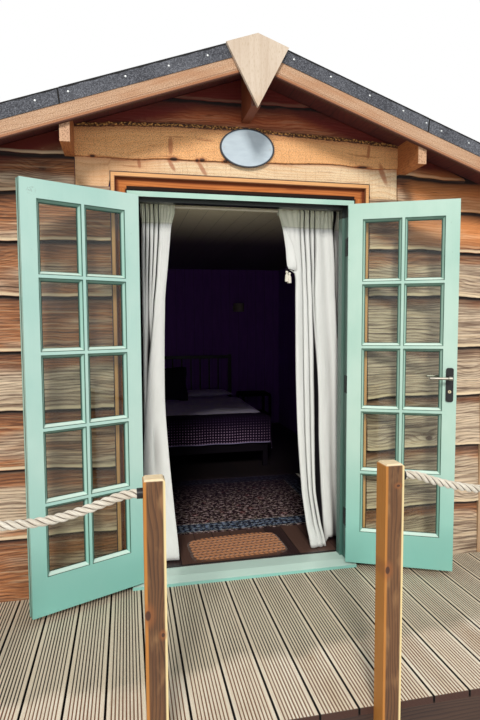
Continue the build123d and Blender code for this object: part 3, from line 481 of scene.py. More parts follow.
barge = Timber("sawn bargeboard", "slope", (210, 174, 142), (172, 128, 96), (106, 58, 32),
               rings=40, wander=9, knots=0.035, line=0.16, Roughness=0.78)
flecks = barge.flow(190, 330, detail=3, rough=0.7)
barge.darken(flecks.fade(0.52, 0.64), (112, 72, 48), 0.8)
barge.darken(flecks.fade(0.45, 0.36), (248, 226, 204), 0.5)
patchy = barge.flow(3.5, 14, 4, detail=3)
barge.darken(patchy.fade(0.45, 0.7), (176, 122, 84), 0.55)
under = barge.z + barge.x.size() * (RISE / RUN)
# Along the lower edge: an orange strip is painted light, for the underside catching the light, a near-black
# line below it is painted shade, and a thin darker line lies above it.
barge.darken(under.fade(2.846, 2.853, 1, 0), (156, 92, 50), 0.7)
barge.darken(under.fade(2.8365, 2.8405, 1, 0), (66, 26, 14), 0.95)
barge.darken((under - 2.856).size().fade(0.001, 0.003, 1, 0), (110, 60, 36), 0.5)
barge.seal(0.0012)
dress(barge, "bargeboards")

beam = Timber("roof beam", "y", (226, 158, 96), (176, 104, 56), (110, 60, 30),
              line=0.35, Roughness=0.65)
sawn = beam.cloud((160, 40, 160), detail=3)
from_middle = (beam.y - 2.15).size()
beam.darken(from_middle.fade(2.388, 2.391), (206, 170, 140), 0.8)
beam.darken(sawn.fade(0.52, 0.62), (120, 72, 46), 0.65)
# Painted shade: the ridge beam, about the middle, is near black red.
beam.darken(beam.x.size().fade(0.05, 0.1, 1, 0), (72, 24, 18), 0.9)
beam.darken(from_middle.fade(2.385, 2.388, 1, 0), (132, 62, 26), 0.55)
beam.seal()
dress(beam, "roof_beams")

# The boards under the roof are given a dark red brown as painted shade.
soffit = Timber("roof boards", "y", (92, 36, 30), (58, 18, 20), (40, 14, 14),
                line=0.3, Roughness=0.7)
SOFFIT_BOARD = 0.125
down_slope = soffit.x.size() / RUN
joint = (down_slope / SOFFIT_BOARD).part()
soffit.darken((joint - 0.5).size().fade(0.478, 0.492), (24, 8, 8), 0.7).seal()
dress(soffit, "roof_panel_left", "roof_panel_right")

apex = Timber("apex plate", "z", (222, 207, 190), (192, 170, 148), (150, 110, 80),
              rings=30, wander=5, knots=0, line=0.18, Roughness=0.75)
sawn = apex.noise(apex.spot(apex.x * 240, apex.z * 50), detail=3)
apex.darken(sawn.fade(0.52, 0.68), (188, 168, 138), 0.5)
apex.darken(apex.z.fade(2.66, 2.72, 1, 0), (196, 160, 124), 0.35)
apex.seal()
dress(apex, "apex_plates")

trim = Timber("door trim", "frame", (240, 186, 124), (200, 132, 76), (116, 62, 32),
              rings=90, knots=0.02, line=0.3, Roughness=0.55)
TRIM_OUTER, TRIM_TOP = 0.7084, 2.3794
OPENING_HALF, OPENING_TOP, FRAME_HALF, FRAME_TOP = 0.684, 2.355, 0.625, 2.290


def from_edge(finish, half, top):
    """How far outside an upright opening a place lies, and inside it below zero."""
    return (finish.x.size() - half).most(finish.z - top)


trim_outer, trim_inner = from_edge(trim, TRIM_OUTER, TRIM_TOP), from_edge(trim, OPENING_HALF, OPENING_TOP)
# Painted shade: a near-black line along the trim's outer edge and a darker band along its inner edge.
trim.darken(trim_outer.fade(-0.0055, -0.0035), (20, 8, 8), 0.95)
trim.darken(trim_inner.fade(0.002, 0.0045, 1, 0), (112, 60, 34), 0.8)
trim.seal(0.0004)
dress(trim, "door_trim")

lining = Timber("recessed lining", "frame", (212, 132, 72), (156, 80, 40), (70, 34, 20),
                rings=70, knots=0.05, line=0.4, Roughness=0.7, Specular_IOR_Level=0.15)
streaks = lining.flow(5, 60, 3, detail=4)
lining.darken(streaks.fade(0.56, 0.7), (120, 58, 30), 0.7)
under_trim, by_frame = from_edge(lining, OPENING_HALF, OPENING_TOP), from_edge(lining, FRAME_HALF, FRAME_TOP)
# Painted shade: darker under the trim, and near black beside the frame and just above its head.
lining.darken(under_trim.fade(-0.026, -0.008), (92, 36, 22), 0.85)
lining.darken(by_frame.fade(0.005, 0.012, 1, 0), (20, 8, 10), 0.95)
inside_frame = (lining.x.size() - FRAME_HALF).fade(0, 0.003, 1, 0)
lining.darken((lining.z - FRAME_TOP).fade(0.021, 0.026, 1, 0) * inside_frame, (12, 6, 8), 0.97)
lining.seal(0.0004)
dress(lining, "door_lining")

concrete = Finish("cast concrete", Roughness=0.92)
grit = concrete.cloud(60, detail=5, rough=0.7)
cloudy = concrete.cloud(6, detail=3)
concrete.colour = concrete.mix((grit * 0.6 + cloudy * 0.5).least(1), (122, 119, 112), (176, 172, 164))
concrete.seal(0.003, grit)
dress(concrete, "foundation_pads")
print("structural finishes are on")

# %% [markdown]
# ## Waney cladding
# The walls are clad with wide boards that kept the tree's own edge. Each board leans out over the
# one below, and its live lower edge throws a wavy shadow. A board is a grid: its lower corners
# follow a wavy line, its top tucks behind the board above, and `solidify` gives it thickness.

# %% Board helper
ROW_EDGES = [0.10, 0.521, 0.870, 1.175, 1.470, 1.750, 2.022, 2.250, 2.436]
EDGE_OUT, TOP_OUT, BOARD_THICK, TUCK = 0.031, 0.013, 0.017, 0.032
HALF_WIDTH, DEPTH, CORNER_INNER, RIDGE_UNDER = 1.5, 4.3, 1.442, 2.9009

# The first board's number on each side of the door, and how bleached it and the boards above it are.
FRONT_WEATHERING = {10: (0.1, 0.42, 0.3, 0.6, 0.15, 0.3, 0.1), 30: (0.7, 0.8, 0.95, 1.0, 0.95, 0.55, 0.3)}


def live_edge(s, number, depth=0.017):
    """How far the tree's edge wanders from the straight line, at s metres along board number."""
    wave = noise.noise((s * 1.5, number * 3.7, 0.5)) + 0.5 * noise.noise((s * 5.1, number * 3.7, 4.5))
    return depth * (wave + 0.22 * noise.noise((s * 17, number * 3.7, 9.5)))


def roof_underside(x):
    """How high the roof's underside lies, at x metres from the middle."""
    return RIDGE_UNDER - abs(x) * RISE / RUN


# Each wall turns a place along it, a height and how far out it lies into x, y and z.
WALLS = {"front": lambda s, z, out: (s, -out, z), "back": lambda s, z, out: (-s, DEPTH + out, z),
         "left": lambda s, z, out: (-HALF_WIDTH - out, DEPTH - s, z),
         "right": lambda s, z, out: (HALF_WIDTH + out, s, z)}


def weathering(number):
    """How bleached a board is, from 0, red brown where the weather doesn't reach, to 1, grey. The front's were
    matched one by one.
    """
    for first, side in FRONT_WEATHERING.items():
        if first <= number < first + len(side):
            return side[number - first]
    return 0.5 + 0.7 * noise.noise((number * 2.7, 1.3, 0.5))


def waney_board(bm, wall, start, end, low, high, number, tuck=TUCK, outs=(EDGE_OUT, TOP_OUT), ends=None,
                above=None):
    """One board from start to end. ends(z) gives the half length where the roof cuts both ends, so that
    the board narrows there, and above(s) the number of the board that laps this one."""
    length = end - start

    def edge(s):
        return low(s) if callable(low) else low + live_edge(s, number)

    def height(s, v):
        return edge(s) + ((high(s) if callable(high) else high + tuck) - edge(s)) * v

    def place(u, v):
        s, z = start + length * u, height(start + length * u, v)
        if ends:
            s *= min(1, ends(z) / end)
        return WALLS[wall](s, z, outs[0] + (outs[1] - outs[0]) * v)

    def below_lap(u, v):
        s = start + length * u
        return high + live_edge(s, above(s)) - height(s, v) if above else 1.0

    marks = [("below_lap", below_lap), ("weathering", lambda u, v: weathering(number)),
             ("above_edge", lambda u, v: height(start + length * u, v) - edge(start + length * u))]
    faces = bend_grid(bm, max(6, int(length / 0.03)), 3, place, marks=marks,
                      stretch=(length, height(start, 1) - edge(start)), shift=(number * 2.3, number * 1.0))
    bmesh.ops.solidify(bm, geom=faces, thickness=min(BOARD_THICK, outs[0] - 0.001))


print(len(ROW_EDGES), "row edges")

# %% [markdown]
# ### Cladding finish
# Each board has weathered in its own way: some stay red brown, others are bleached to a pale grey
# brown. Rain reaches the lower part of a board first, and the strip under the lap is painted dark as
# the shade of the board above. The mesh keeps three numbers for that at its corners: how bleached the
# board is, how far a place lies below the lap and how far above the board's own live edge. The rings
# stay as fine dark lines over both colours, and a pale line just above the live edge is a painted
# highlight. Undersides are painted almost black as shade, the boards near the roof are painted dark
# red as the shade under the eaves, and one board high on the right has a painted patch of sunlight.

# %% Cladding finish
cladding = Timber("waney cladding", "UV", (190, 124, 76), (96, 52, 33), (46, 24, 16),
                  rings=58, wander=8, sway=1.8, knots=0.062, line=0.34, Roughness=0.74)
below_lap, above_edge = cladding.mark("below_lap"), cladding.mark("above_edge")
patches = cladding.flow(2.1, 8, 5, detail=3)
rained_on = below_lap.fade(0.02, 0.13, -0.46, 0.22)
bleach = (cladding.mark("weathering") + rained_on + (patches - 0.5) * 1.5).fade(0.3, 0.8)
grey_wood = cladding.mix(cladding.tone, (232, 214, 188), (116, 92, 72))
cladding.darken(bleach * cladding.z.fade(2.35, 2.5, 1, 0.15), grey_wood, 0.92)
cladding.darken(cladding.near.fade(0.03, 0.062, 1, 0), (84, 42, 28), 0.85)
cladding.darken(cladding.late * cladding.fibre.fade(0.35, 0.65), (74, 42, 30), 0.42)
dirt = cladding.flow(3, 26, 11, detail=4, rough=0.65)
cladding.darken((dirt + above_edge.fade(0, 0.09, 0.10, 0)).fade(0.54, 0.72), (92, 64, 46), 0.6)
under_roof = cladding.z + cladding.x.size() * (RISE / RUN) - RIDGE_UNDER
streaks = cladding.flow(2.2, 58, 14, detail=3, rough=0.6)
cladding.darken(streaks.fade(0.5, 0.64), (78, 46, 30), 0.65)
cladding.darken(streaks.fade(0.46, 0.36), (246, 216, 176), 0.3)
checks = cladding.flow(5, 190, 2, detail=2)
cladding.darken(checks.fade(0.64, 0.71), (44, 26, 18), 0.75)
hairs = cladding.flow(12, 430, 12, detail=3, rough=0.7)
cladding.darken(hairs.fade(0.56, 0.70), (72, 42, 30), 0.5)
cladding.darken(hairs.fade(0.44, 0.32), (236, 206, 168), 0.3)
# Painted shade: the boards near the roof turn dark red, as the shade under the eaves.
cladding.darken(cladding.z.fade(2.60, 2.68), (170, 74, 32), 0.6)
cladding.darken(under_roof.fade(-0.13, -0.05).most(cladding.z.fade(2.67, 2.78)), (98, 16, 14), 0.94)
# Painted highlight: a pale line just above each live edge.
painted_highlight_lip = above_edge.fade(0.001, 0.004) * above_edge.fade(0.010, 0.022, 1, 0)
cladding.darken(painted_highlight_lip * cladding.z.fade(2.5, 2.6, 1, 0.12), (246, 224, 188), 0.7)
# A painted patch of sunlight on a board high on the right.
painted_sun_patch = cladding.x.fade(0.9, 1.0) * cladding.z.fade(2.02, 2.10) * cladding.z.fade(2.42, 2.5, 1, 0)
cladding.darken(painted_sun_patch, (255, 164, 92), 0.5)
# Painted shade: the strip under the board above, near black right under its edge.
cladding.darken(below_lap.fade(0.014, 0.085, 1, 0), (66, 32, 22), 0.6)
cladding.darken(below_lap.fade(0.009, 0.026, 1, 0), (20, 9, 10), 0.97)
# Painted shade: faces that look down are almost black.
cladding.darken(cladding.place("Normal")[2].fade(-0.7, -0.4, 1, 0), (20, 9, 9), 0.95)
cladding.relief = cladding.relief - checks.fade(0.64, 0.72) * 1.5
cladding.seal(0.0018)

corner = Timber("corner board", "z", (196, 128, 72), (138, 80, 42), (60, 34, 20), Roughness=0.72)
worn = corner.cloud((20, 20, 1.6), detail=4)
corner.darken((worn + corner.z.fade(0.3, 2.5, 0.2, -0.1)).fade(0.42, 0.68), (186, 162, 132), 0.75).seal(0.0012)
dress(corner, "corner_boards")
print("cladding finish is ready")

# %% Boards on the four walls
TRIM_EDGE, HEADER_HALF, EAR_BOTTOM, ROOF_GAP, SIDE_INSET, EAVES = 0.7094, 0.876, 2.302, 0.004, 0.058, 2.368


def clad_rows(bm, wall, spans, number, top=None, rows=ROW_EDGES):
    """Rows of boards that lap each other. spans(height) gives the ends of the boards in a row."""
    for low, high in zip(rows, rows[1:]):
        last = top is not None and high + TUCK > top
        joints_above = [end for start, end in spans(high)][:-1]
        first_above = number + len(spans(low))
        above = lambda s, first=first_above, ends=joints_above: first + sum(s > end for end in ends)
        for start, end in spans(low):
            waney_board(bm, wall, start, end, low, top if last else high, number, tuck=0 if last else TUCK,
                        above=None if last else above)
            number += 1


def clad_front_side(name, side, number):
    """The front beside the door. Its last two rows end at the header boards and under the roof."""
    bm = bmesh.new()

    def span(near, far):
        return sorted((side * near, side * far))
    clad_rows(bm, "front", lambda low: [span(TRIM_EDGE, CORNER_INNER)], number, rows=ROW_EDGES[:-1])
    number += len(ROW_EDGES) - 2
    low, high = ROW_EDGES[-2:]
    waney_board(bm, "front", *span(TRIM_EDGE, HEADER_HALF + 0.001), low, EAR_BOTTOM - 0.001, number, tuck=0)
    waney_board(bm, "front", *span(HEADER_HALF + 0.002, CORNER_INNER), low, high, number,
                above=lambda s: number + 1)
    waney_board(bm, "front", *span(HEADER_HALF + 0.002, 1.30), high,
                lambda s: max(roof_underside(s) - ROOF_GAP, high + 0.002), number + 1)
    finish_piece(name, bm, cladding)


def clad_gable(name, wall, rows, number, outs=(EDGE_OUT, TOP_OUT)):
    bm = bmesh.new()
    for low, high in zip(rows, rows[1:]):
        half = min(CORNER_INNER, (RIDGE_UNDER - low + 0.02) * RUN / RISE)
        ends = lambda z: min(CORNER_INNER, max((RIDGE_UNDER - ROOF_GAP - z) * RUN / RISE, 0.004))
        above = (lambda s, number=number: number + 1) if high != rows[-1] else None
        waney_board(bm, wall, -half, half, low, min(high, 2.86), number, ends=ends, outs=outs, above=above)
        number += 1
    finish_piece(name, bm, cladding)


clad_front_side("cladding_front_left", -1, 10)
clad_front_side("cladding_front_right", 1, 30)
clad_gable("cladding_front_gable", "front", [2.56, 2.765, 2.89], 50, outs=(0.0135, 0.009))
clad_gable("cladding_back", "back", ROW_EDGES + [2.60, 2.745, 2.89], 60)
for wall, number in (("left", 80), ("right", 110)):
    side_bm = bmesh.new()
    joints = lambda low: [(SIDE_INSET, 1.3 + low * 0.9), (1.303 + low * 0.9, DEPTH - SIDE_INSET)]
    clad_rows(side_bm, wall, joints, number, top=EAVES)
    finish_piece("cladding_" + wall, side_bm, cladding)
clad = [piece for piece in bpy.data.objects if piece.name.startswith("cladding")]
print("cladding has", sum(len(piece.data.polygons) for piece in clad), "faces")

# %% [markdown]
# ## The header over the door
# Two wide boards span the doorway under the gable. The upper one laps the lower, with a dark crack
# of shadow at its live edge, and its top still carries crumbs of bark. Both edges follow points
# that were measured over the width of the door.

# %% Header boards and bark
BARK_LINE = [(-0.876, 2.605), (-0.846, 2.608), (-0.553, 2.629), (-0.246, 2.638), (-0.033, 2.640),
             (0.298, 2.627), (0.529, 2.621), (0.828, 2.613), (0.876, 2.608)]
LAP_LINE = [(-0.876, 2.447), (-0.850, 2.447), (-0.606, 2.445), (-0.429, 2.455), (-0.142, 2.459),
            (0.186, 2.467), (0.472, 2.478), (0.709, 2.469), (0.876, 2.475)]


def through(points):
    """A smooth line through measured points, with a little wander of its own."""
    def at(s):
        k = next((i for i in range(1, len(points) - 1) if s <= points[i][0]), len(points) - 1)
        (a, low), (b, high) = points[k - 1], points[k]
        part = min(max((s - a) / (b - a), 0), 1)
        return low + (high - low) * part * part * (3 - 2 * part) + live_edge(s * 3, 7, 0.003)
    return at


bark_edge, lap_edge = through(BARK_LINE), through(LAP_LINE)
header_bm = bmesh.new()


def lower_header(u, v):
    s = -HEADER_HALF + 2 * HEADER_HALF * u
    low = EAR_BOTTOM if abs(s) > TRIM_EDGE + 0.0005 else TRIM_TOP + 0.0004
    return (s, -0.014 + 0.004 * v, low + (lap_edge(s) + 0.02 - low) * v)


def upper_header(u, v):
    s = -HEADER_HALF + 2 * HEADER_HALF * u
    return (s, -0.0216 + 0.004 * v, lap_edge(s) + (bark_edge(s) - lap_edge(s)) * v)


def below(line, place):
    """For a mark: how far a corner lies under a measured line; the other board gets 1."""
    return lambda u, v: line(place(u, v)[0]) - place(u, v)[2]


far_off = lambda u, v: 1.0
for rows, place, high, shift, thick, crack, crust in (
        (4, lower_header, 0.12, (3.1, 201.2), 0.010, below(lap_edge, lower_header), far_off),
        (6, upper_header, 0.17, (11.4, 205.55), 0.0155, far_off, below(bark_edge, upper_header))):
    faces = bend_grid(header_bm, 120, rows, place, stretch=(1.75, high), shift=shift,
                      marks=[("below_crack", crack), ("below_bark", crust)])
    bmesh.ops.solidify(header_bm, geom=faces, thickness=thick)

header = Timber("header boards", "UV", (244, 222, 186), (222, 178, 130), (64, 30, 14),
                rings=52, wander=10, knots=0, sway=1.3, line=0.4, Roughness=0.62)
upper = header.t.over(204)
header.darken(upper, (250, 180, 108), 0.76)
sawdust = header.flow(170, 210, 2, detail=3, rough=0.7)
header.darken(sawdust.fade(0.53, 0.63) * upper, (120, 66, 34), 0.7)
header.darken(header.mark("below_bark").fade(0.01, 0.06, 1, 0), (150, 74, 38), 0.55)
saw_lines = header.flow(90, 6, 4, detail=2)
header.darken(saw_lines.fade(0.56, 0.66), (176, 112, 66), 0.16)
specks = header.flow(420, 300, 6, detail=1)
header.darken(specks.fade(0.60, 0.66), (96, 48, 28), 0.75)
header.darken(header.x.fade(-0.35, -0.6) * (1 - upper), (222, 158, 102), 0.55)
crust_wave = header.flow(60, 90, 9, detail=4, rough=0.7)
below_bark, below_crack = header.mark("below_bark"), header.mark("below_crack")
header.darken((below_bark + (crust_wave - 0.5) * 0.02).fade(0.018, 0.024, 1, 0), (58, 24, 14), 0.95)
# Painted shade: a dark crack under the upper board's live edge, and a softer warm band below it.
header.darken((below_crack + (crust_wave - 0.5) * 0.012).fade(0.003, 0.006, 1, 0), (48, 18, 10), 0.92)
header.darken(below_crack.fade(0.004, 0.03, 1, 0), (176, 104, 58), 0.4)
header_marks = header.flow(4, 30, 8, detail=4)
header.darken(header_marks.fade(0.58, 0.72), (150, 84, 42), 0.6)
for bark_pocket in ((-0.384, 2.456, 0.024, 0.010), (-0.236, 2.459, 0.017, 0.009), (-0.262, 2.455, 0.010, 0.008),
                    (-0.112, 2.460, 0.016, 0.008), (-0.790, 2.448, 0.016, 0.006), (0.665, 2.471, 0.040, 0.006)):
    spread = header.oval(header.x, header.z, *bark_pocket) ** 0.5 + header_marks * 0.5
    header.darken(spread.fade(1.0, 2.3, 1, 0), (168, 96, 50), 0.7)
    header.darken(spread.fade(0.8, 1.3, 1, 0), (52, 22, 12), 0.92)
for stain in ((-0.560, 2.425, 0.010, 0.026, -0.1), (-0.395, 2.425, 0.013, 0.032, -0.5),
              (-0.235, 2.415, 0.014, 0.040, -0.55), (-0.400, 2.520, 0.014, 0.050, 0.0),
              (0.790, 2.440, 0.018, 0.060, -0.4), (0.700, 2.560, 0.010, 0.045, 0.1)):
    header.darken(header.oval(header.x, header.z, *stain).fade(0.2, 1.5, 1, 0), (158, 84, 44), 0.72)
header.seal(0.0012)
header_boards = finish_piece("header_boards", header_bm, header)
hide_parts("header_board")

CRUMBS = 520
bark_bm = bmesh.new()
for k in range(CRUMBS):
    s = -0.872 + 1.744 * (k + 0.5) / CRUMBS
    size = 0.0034 + 0.0030 * noise.noise((k * 1.7, 3.1, 0))
    crumb = bmesh.ops.create_icosphere(bark_bm, subdivisions=1, radius=size)["verts"]
    turn = Matrix.Rotation(k * 1.9, 4, Vector((1, 0.4, 0.3)).normalized())
    spread = Matrix.Diagonal((1.9, 0.8, 0.75, 1))
    out = -0.0190 + 0.0015 * noise.noise((k * 0.9, 8.2, 0))
    lift = 0.012 * noise.noise((k * 1.3, 5.5, 0)) - 0.009
    place = Matrix.Translation((s, out, bark_edge(s) + lift))
    bmesh.ops.transform(bark_bm, verts=crumb, matrix=place @ spread @ turn)
bark = Finish("bark crumbs", Roughness=0.9)
crust = bark.cloud(90, detail=4)
bark.colour = bark.mix(crust.fade(0.38, 0.66), (56, 26, 14), (222, 164, 92))
bark.seal(0.002, crust)
finish_piece("header_bark", bark_bm, bark)
print("header boards and", CRUMBS, "crumbs of bark")

# %% [markdown]
# ## Roof felt and its nails
# Mineral felt is bitumen with slate granules pressed into it: a Voronoi texture gives each granule
# its own shade and a small bump. The strip that turns over the bargeboard is held by a row of clout
# nails with pale, round, slightly domed heads.

# %% Felt finishes
def mineral_felt(name, pale, deep, mottle):
    felt = Finish(name, Roughness=0.88)
    x, y, z = felt.place()
    granules = felt.cells(felt.spot(x * 260, y * 260, z * 260), output="Color")
    shade = felt.node("ShaderNodeSeparateXYZ", None, {0: granules})
    cloud = felt.cloud(3, detail=4, rough=0.6)
    tone = shade * shade * 0.8 + cloud.fade(0.3, 0.7) * mottle
    felt.colour, felt.relief = felt.mix(tone.least(1), deep, pale), shade
    return felt


felt = mineral_felt("mineral felt", (112, 114, 120), (36, 37, 42), 0.3)
felt.seal(0.0012)
dress(felt, "roof_felt", "ridge_cap")
verge = mineral_felt("verge felt", (124, 128, 138), (50, 52, 60), 0.35)
vx, _, vz = verge.place()
butt = (vx.size() - 0.9175 - (vz - 2.62) * 0.12).size().fade(0.003, 0.005, 1, 0)
rim = vz + vx.size() * (RISE / RUN)
lip = (rim - 2.976 - (vx * 60).sine() * 0.0015).fade(0.0, 0.003)
verge.darken(butt.most(lip), (14, 15, 18)).seal(0.0012)
dress(verge, "verge_felt")
print("felt finishes are on")

# %% Clout nails along both verges
NAILS = [(-1.56, 2.425), (-1.43, 2.463), (-1.30, 2.506), (-1.17, 2.549), (-1.019, 2.600), (-0.876, 2.651),
         (-0.622, 2.739), (-0.423, 2.804), (-0.240, 2.868), (0.186, 2.890), (0.378, 2.825), (0.587, 2.752),
         (0.773, 2.691), (0.905, 2.640), (0.992, 2.605), (1.155, 2.554), (1.32, 2.498), (1.48, 2.445)]
VERGE_FRONT, VERGE_BACK = -0.2663, 4.5663
nails_bm = bmesh.new()
for x, height in NAILS:
    for face_y, side in ((VERGE_FRONT, 1), (VERGE_BACK, -1)):
        head = bmesh.ops.create_uvsphere(nails_bm, u_segments=10, v_segments=6, radius=0.0052)["verts"]
        put(nails_bm, head, (x * side, face_y, height), (1, 0.28, 1))
nail_head = Finish("nail heads", Roughness=0.45, Metallic=0.75)
dull = nail_head.cloud(300, detail=3)
nail_head.colour = nail_head.mix(dull, (150, 156, 160), (232, 236, 236))
nail_head.seal(0.0003, dull)
finish_piece("verge_nails", nails_bm, nail_head)
print(2 * len(NAILS), "nails hold the verge felt")

# %% [markdown]
# ## The plaque
# The oval plaque is bare slate with a darker bevelled rim and a round screw at each end. Its finish
# measures the distance from the middle of the oval, so that the rim keeps its width all round.

# %% Plaque
PLAQUE_X, PLAQUE_Z = 0.004, 2.53
slate = Finish("honed slate", Roughness=0.5)
px, _, pz = slate.place()
cleft = slate.cloud((14, 5, 46), detail=5, rough=0.6)
dust = slate.cloud(300, detail=2)
slate.colour = slate.mix((cleft * 0.7 + dust * 0.35).least(1), (162, 180, 196), (212, 228, 238))
slate.darken(slate.oval(px, pz, PLAQUE_X, PLAQUE_Z, 0.148, 0.1).fade(0.85, 0.90), (34, 40, 50))
slate.seal(0.0006, cleft + dust * 0.4)
dress(slate, "name_plaque")
screws_bm = bmesh.new()
for screw_x in (PLAQUE_X - 0.124, PLAQUE_X + 0.124):
    screw = bmesh.ops.create_uvsphere(screws_bm, u_segments=14, v_segments=8, radius=0.0042)["verts"]
    put(screws_bm, screw, (screw_x, -0.0301, PLAQUE_Z), (1, 0.4, 1))
    slot_cut = bmesh.ops.create_cube(screws_bm, size=1)["verts"]
    put(screws_bm, slot_cut, (screw_x, -0.0316, PLAQUE_Z), (0.0068, 0.0006, 0.0009))
finish_piece("plaque_screws", screws_bm, nail_head)
print("plaque is bare, with two screws")

# %% [markdown]
# ## Painted doors and glass
# The leaves, frame and sill are brushed with a satin mint green. Brush marks run along the stiles,
# dirt gathers softly here and there, and the sill is a little bluer and more worn. Shade is painted
# into the recesses round the panes, inside the frame and on faces that look down, and a painted
# highlight lies on faces that look up. The panes are thin: most light goes straight through, and
# Fresnel decides how much the surface mirrors.

# %% Green paint
LEFT_OPEN, RIGHT_OPEN = math.radians(154.3), math.radians(155.5)
PIN_X, PIN_Y = 0.5875, -0.006


def satin_green(name, pale, deep, marks=None, middle=None):
    """middle is a point and a direction: the plane through the middle of a leaf. marks is a worn place."""
    green = Finish(name, Roughness=0.38, Coat_Weight=0.25, Coat_Roughness=0.2)
    x, y, z = green.place()
    brush = green.cloud((240, 240, 7), detail=3)
    cloud = green.cloud((3.5, 3.5, 2.2), detail=3)
    green.colour = green.mix((cloud.fade(0.25, 0.75) * 0.8 + brush * 0.2).least(1), deep, pale)
    grime = green.cloud(26, detail=4, rough=0.7)
    green.darken(grime.fade(0.66, 0.8), (120, 160, 142), 0.5)
    green.darken(z.fade(0.24, 1.05, 0.75, 0) * cloud.fade(0.2, 0.6, 0.7, 1), (110, 194, 184))
    # Painted shade in the hollow round each pane: a dark line where the bead leaves the face, a softer
    # darkening down the bead and a dark band by the glass.
    if middle:
        (at_x, at_y), (nx, ny) = middle
        depth = ((x - at_x) * nx + (y - at_y) * ny - 0.028).size()
        shaded_recess = depth.fade(0.0214, 0.0218, 1, 0)
        green.darken(shaded_recess, (112, 168, 148), 0.35)
        green.darken(shaded_recess * depth.fade(0.0165, 0.0195), (48, 100, 82), 0.8)
        green.darken(depth.fade(0.005, 0.0085, 1, 0), (30, 66, 56), 0.85)
    # Painted shade on faces that look down, and a painted highlight on faces that look up.
    facing_up = green.place("Normal")[2]
    green.darken(facing_up.fade(-0.6, -0.2, 0.55, 0), (48, 92, 78))
    green.darken(facing_up.fade(0.25, 0.6, 0, 0.75), (224, 246, 236))
    if marks:
        near = ((x - marks[0]) * (x - marks[0]) + (z - marks[1]) * (z - marks[1])) ** 0.5
        chips = green.cloud(130, detail=2).fade(0.56, 0.6)
        green.darken(chips * near.fade(0.006, 0.026, 0.4, 0), (110, 122, 116))
    green.give("Roughness", cloud.fade(0.3, 0.7, 0.33, 0.46))
    green.relief = brush + grime * 0.3
    return green


left_green = satin_green("left leaf green", (198, 229, 221), (168, 212, 204), marks=(-1.045, 2.205),
                         middle=((-PIN_X, PIN_Y), (math.sin(LEFT_OPEN), math.cos(LEFT_OPEN))))
right_green = satin_green("right leaf green", (194, 222, 210), (164, 205, 192),
                          middle=((PIN_X, PIN_Y), (-math.sin(RIGHT_OPEN), math.cos(RIGHT_OPEN))))
frame_green = satin_green("frame green", (190, 222, 210), (160, 206, 192))
_, fy, fz = frame_green.place()
# Painted shade: the frame's inner faces are darker, and the head's inner faces and all faces that look down are
# near black.
frame_green.darken(fy.fade(0.001, 0.006, 0, 0.8), (30, 64, 55))
frame_green.darken(fy.fade(0.001, 0.006) * fz.over(2.2), (14, 15, 14), 0.93)
frame_green.darken(frame_green.place("Normal")[2].fade(-0.7, -0.4, 0.93, 0), (16, 18, 16))
sill_green = satin_green("sill green", (214, 240, 232), (186, 222, 214))
for green, node in ((left_green, "left_door_leaf"), (right_green, "right_door_leaf"),
                    (frame_green, "door_frame"), (sill_green, "door_sill")):
    green.seal(0.00035)
    dress(green, node)
print("doors, frame and sill are painted")

# %% Panes
panes = Finish("clear panes")
through_glass = panes.node("ShaderNodeBsdfTransparent", None, {"Color": (0.93, 0.96, 0.94, 1)})
mirror = panes.node("ShaderNodeBsdfGlossy", None, {"Color": (1, 1, 1, 1), "Roughness": 0.03})
edge_on = panes.node("ShaderNodeFresnel", None, {"IOR": 1.5})
smear = panes.cloud((7, 7, 5), detail=4)
blend = panes.node("ShaderNodeMixShader", None, {0: edge_on * 0.55 + smear.fade(0.5, 0.8) * 0.02,
                                                 1: through_glass, 2: mirror})
panes.tree.links.new(blend.socket, panes.tree.nodes["Material Output"].inputs["Surface"])
dress(panes, "left_door_glass", "right_door_glass")
print("panes are clear")

# %% [markdown]
# ### Putty and shadow lines
# Every pane is held by splayed beads with mitred corners. Where a bead meets the glass, and where it
# meets the leaf's face, the real doors show a thin dark green line: the one at the glass is partly
# putty and partly painted shade, and the one at the face is painted shade. A line is a flat rectangle,
# inset, with its middle taken out and the rim thickened. The beads are made in the same way, but the
# inset also sinks to the glass. All are drawn on the shut leaf and then turned about the hinge pin.

# %% Beads, and putty and shade lines, on both leaves
PANE_WIDE, PANE_HIGH, GLAZING_BAR, SPLAY, LEAF_THICK = 0.20255, 0.3342, 0.020, 0.0120, 0.044
FIRST_PANE_X, FIRST_PANE_Z, LINE_THICK = -0.505, 0.419, 0.0004
# Dark green lines at every pane: those at the glass are partly putty and partly painted shade, those at the
# leaf's faces are painted shade.
putty_and_shade = Finish("putty and shade lines", Roughness=0.6)
grimy = putty_and_shade.cloud(60, detail=3)
putty_and_shade.give("Base Color", putty_and_shade.mix(grimy, (26, 58, 50), (52, 98, 84)))

LINES = ((-0.0003, 0.0025, 0.0028, 0), (0.0196, -SPLAY, 0.003, 0), (0.0244, -SPLAY, 0.003, 0),
         (LEAF_THICK + 0.0003, 0.0025, 0.0028, 0))
BEADS = ((0.0035, -0.0005, SPLAY, -0.0160), (LEAF_THICK - 0.0035, -0.0005, SPLAY, 0.0160))


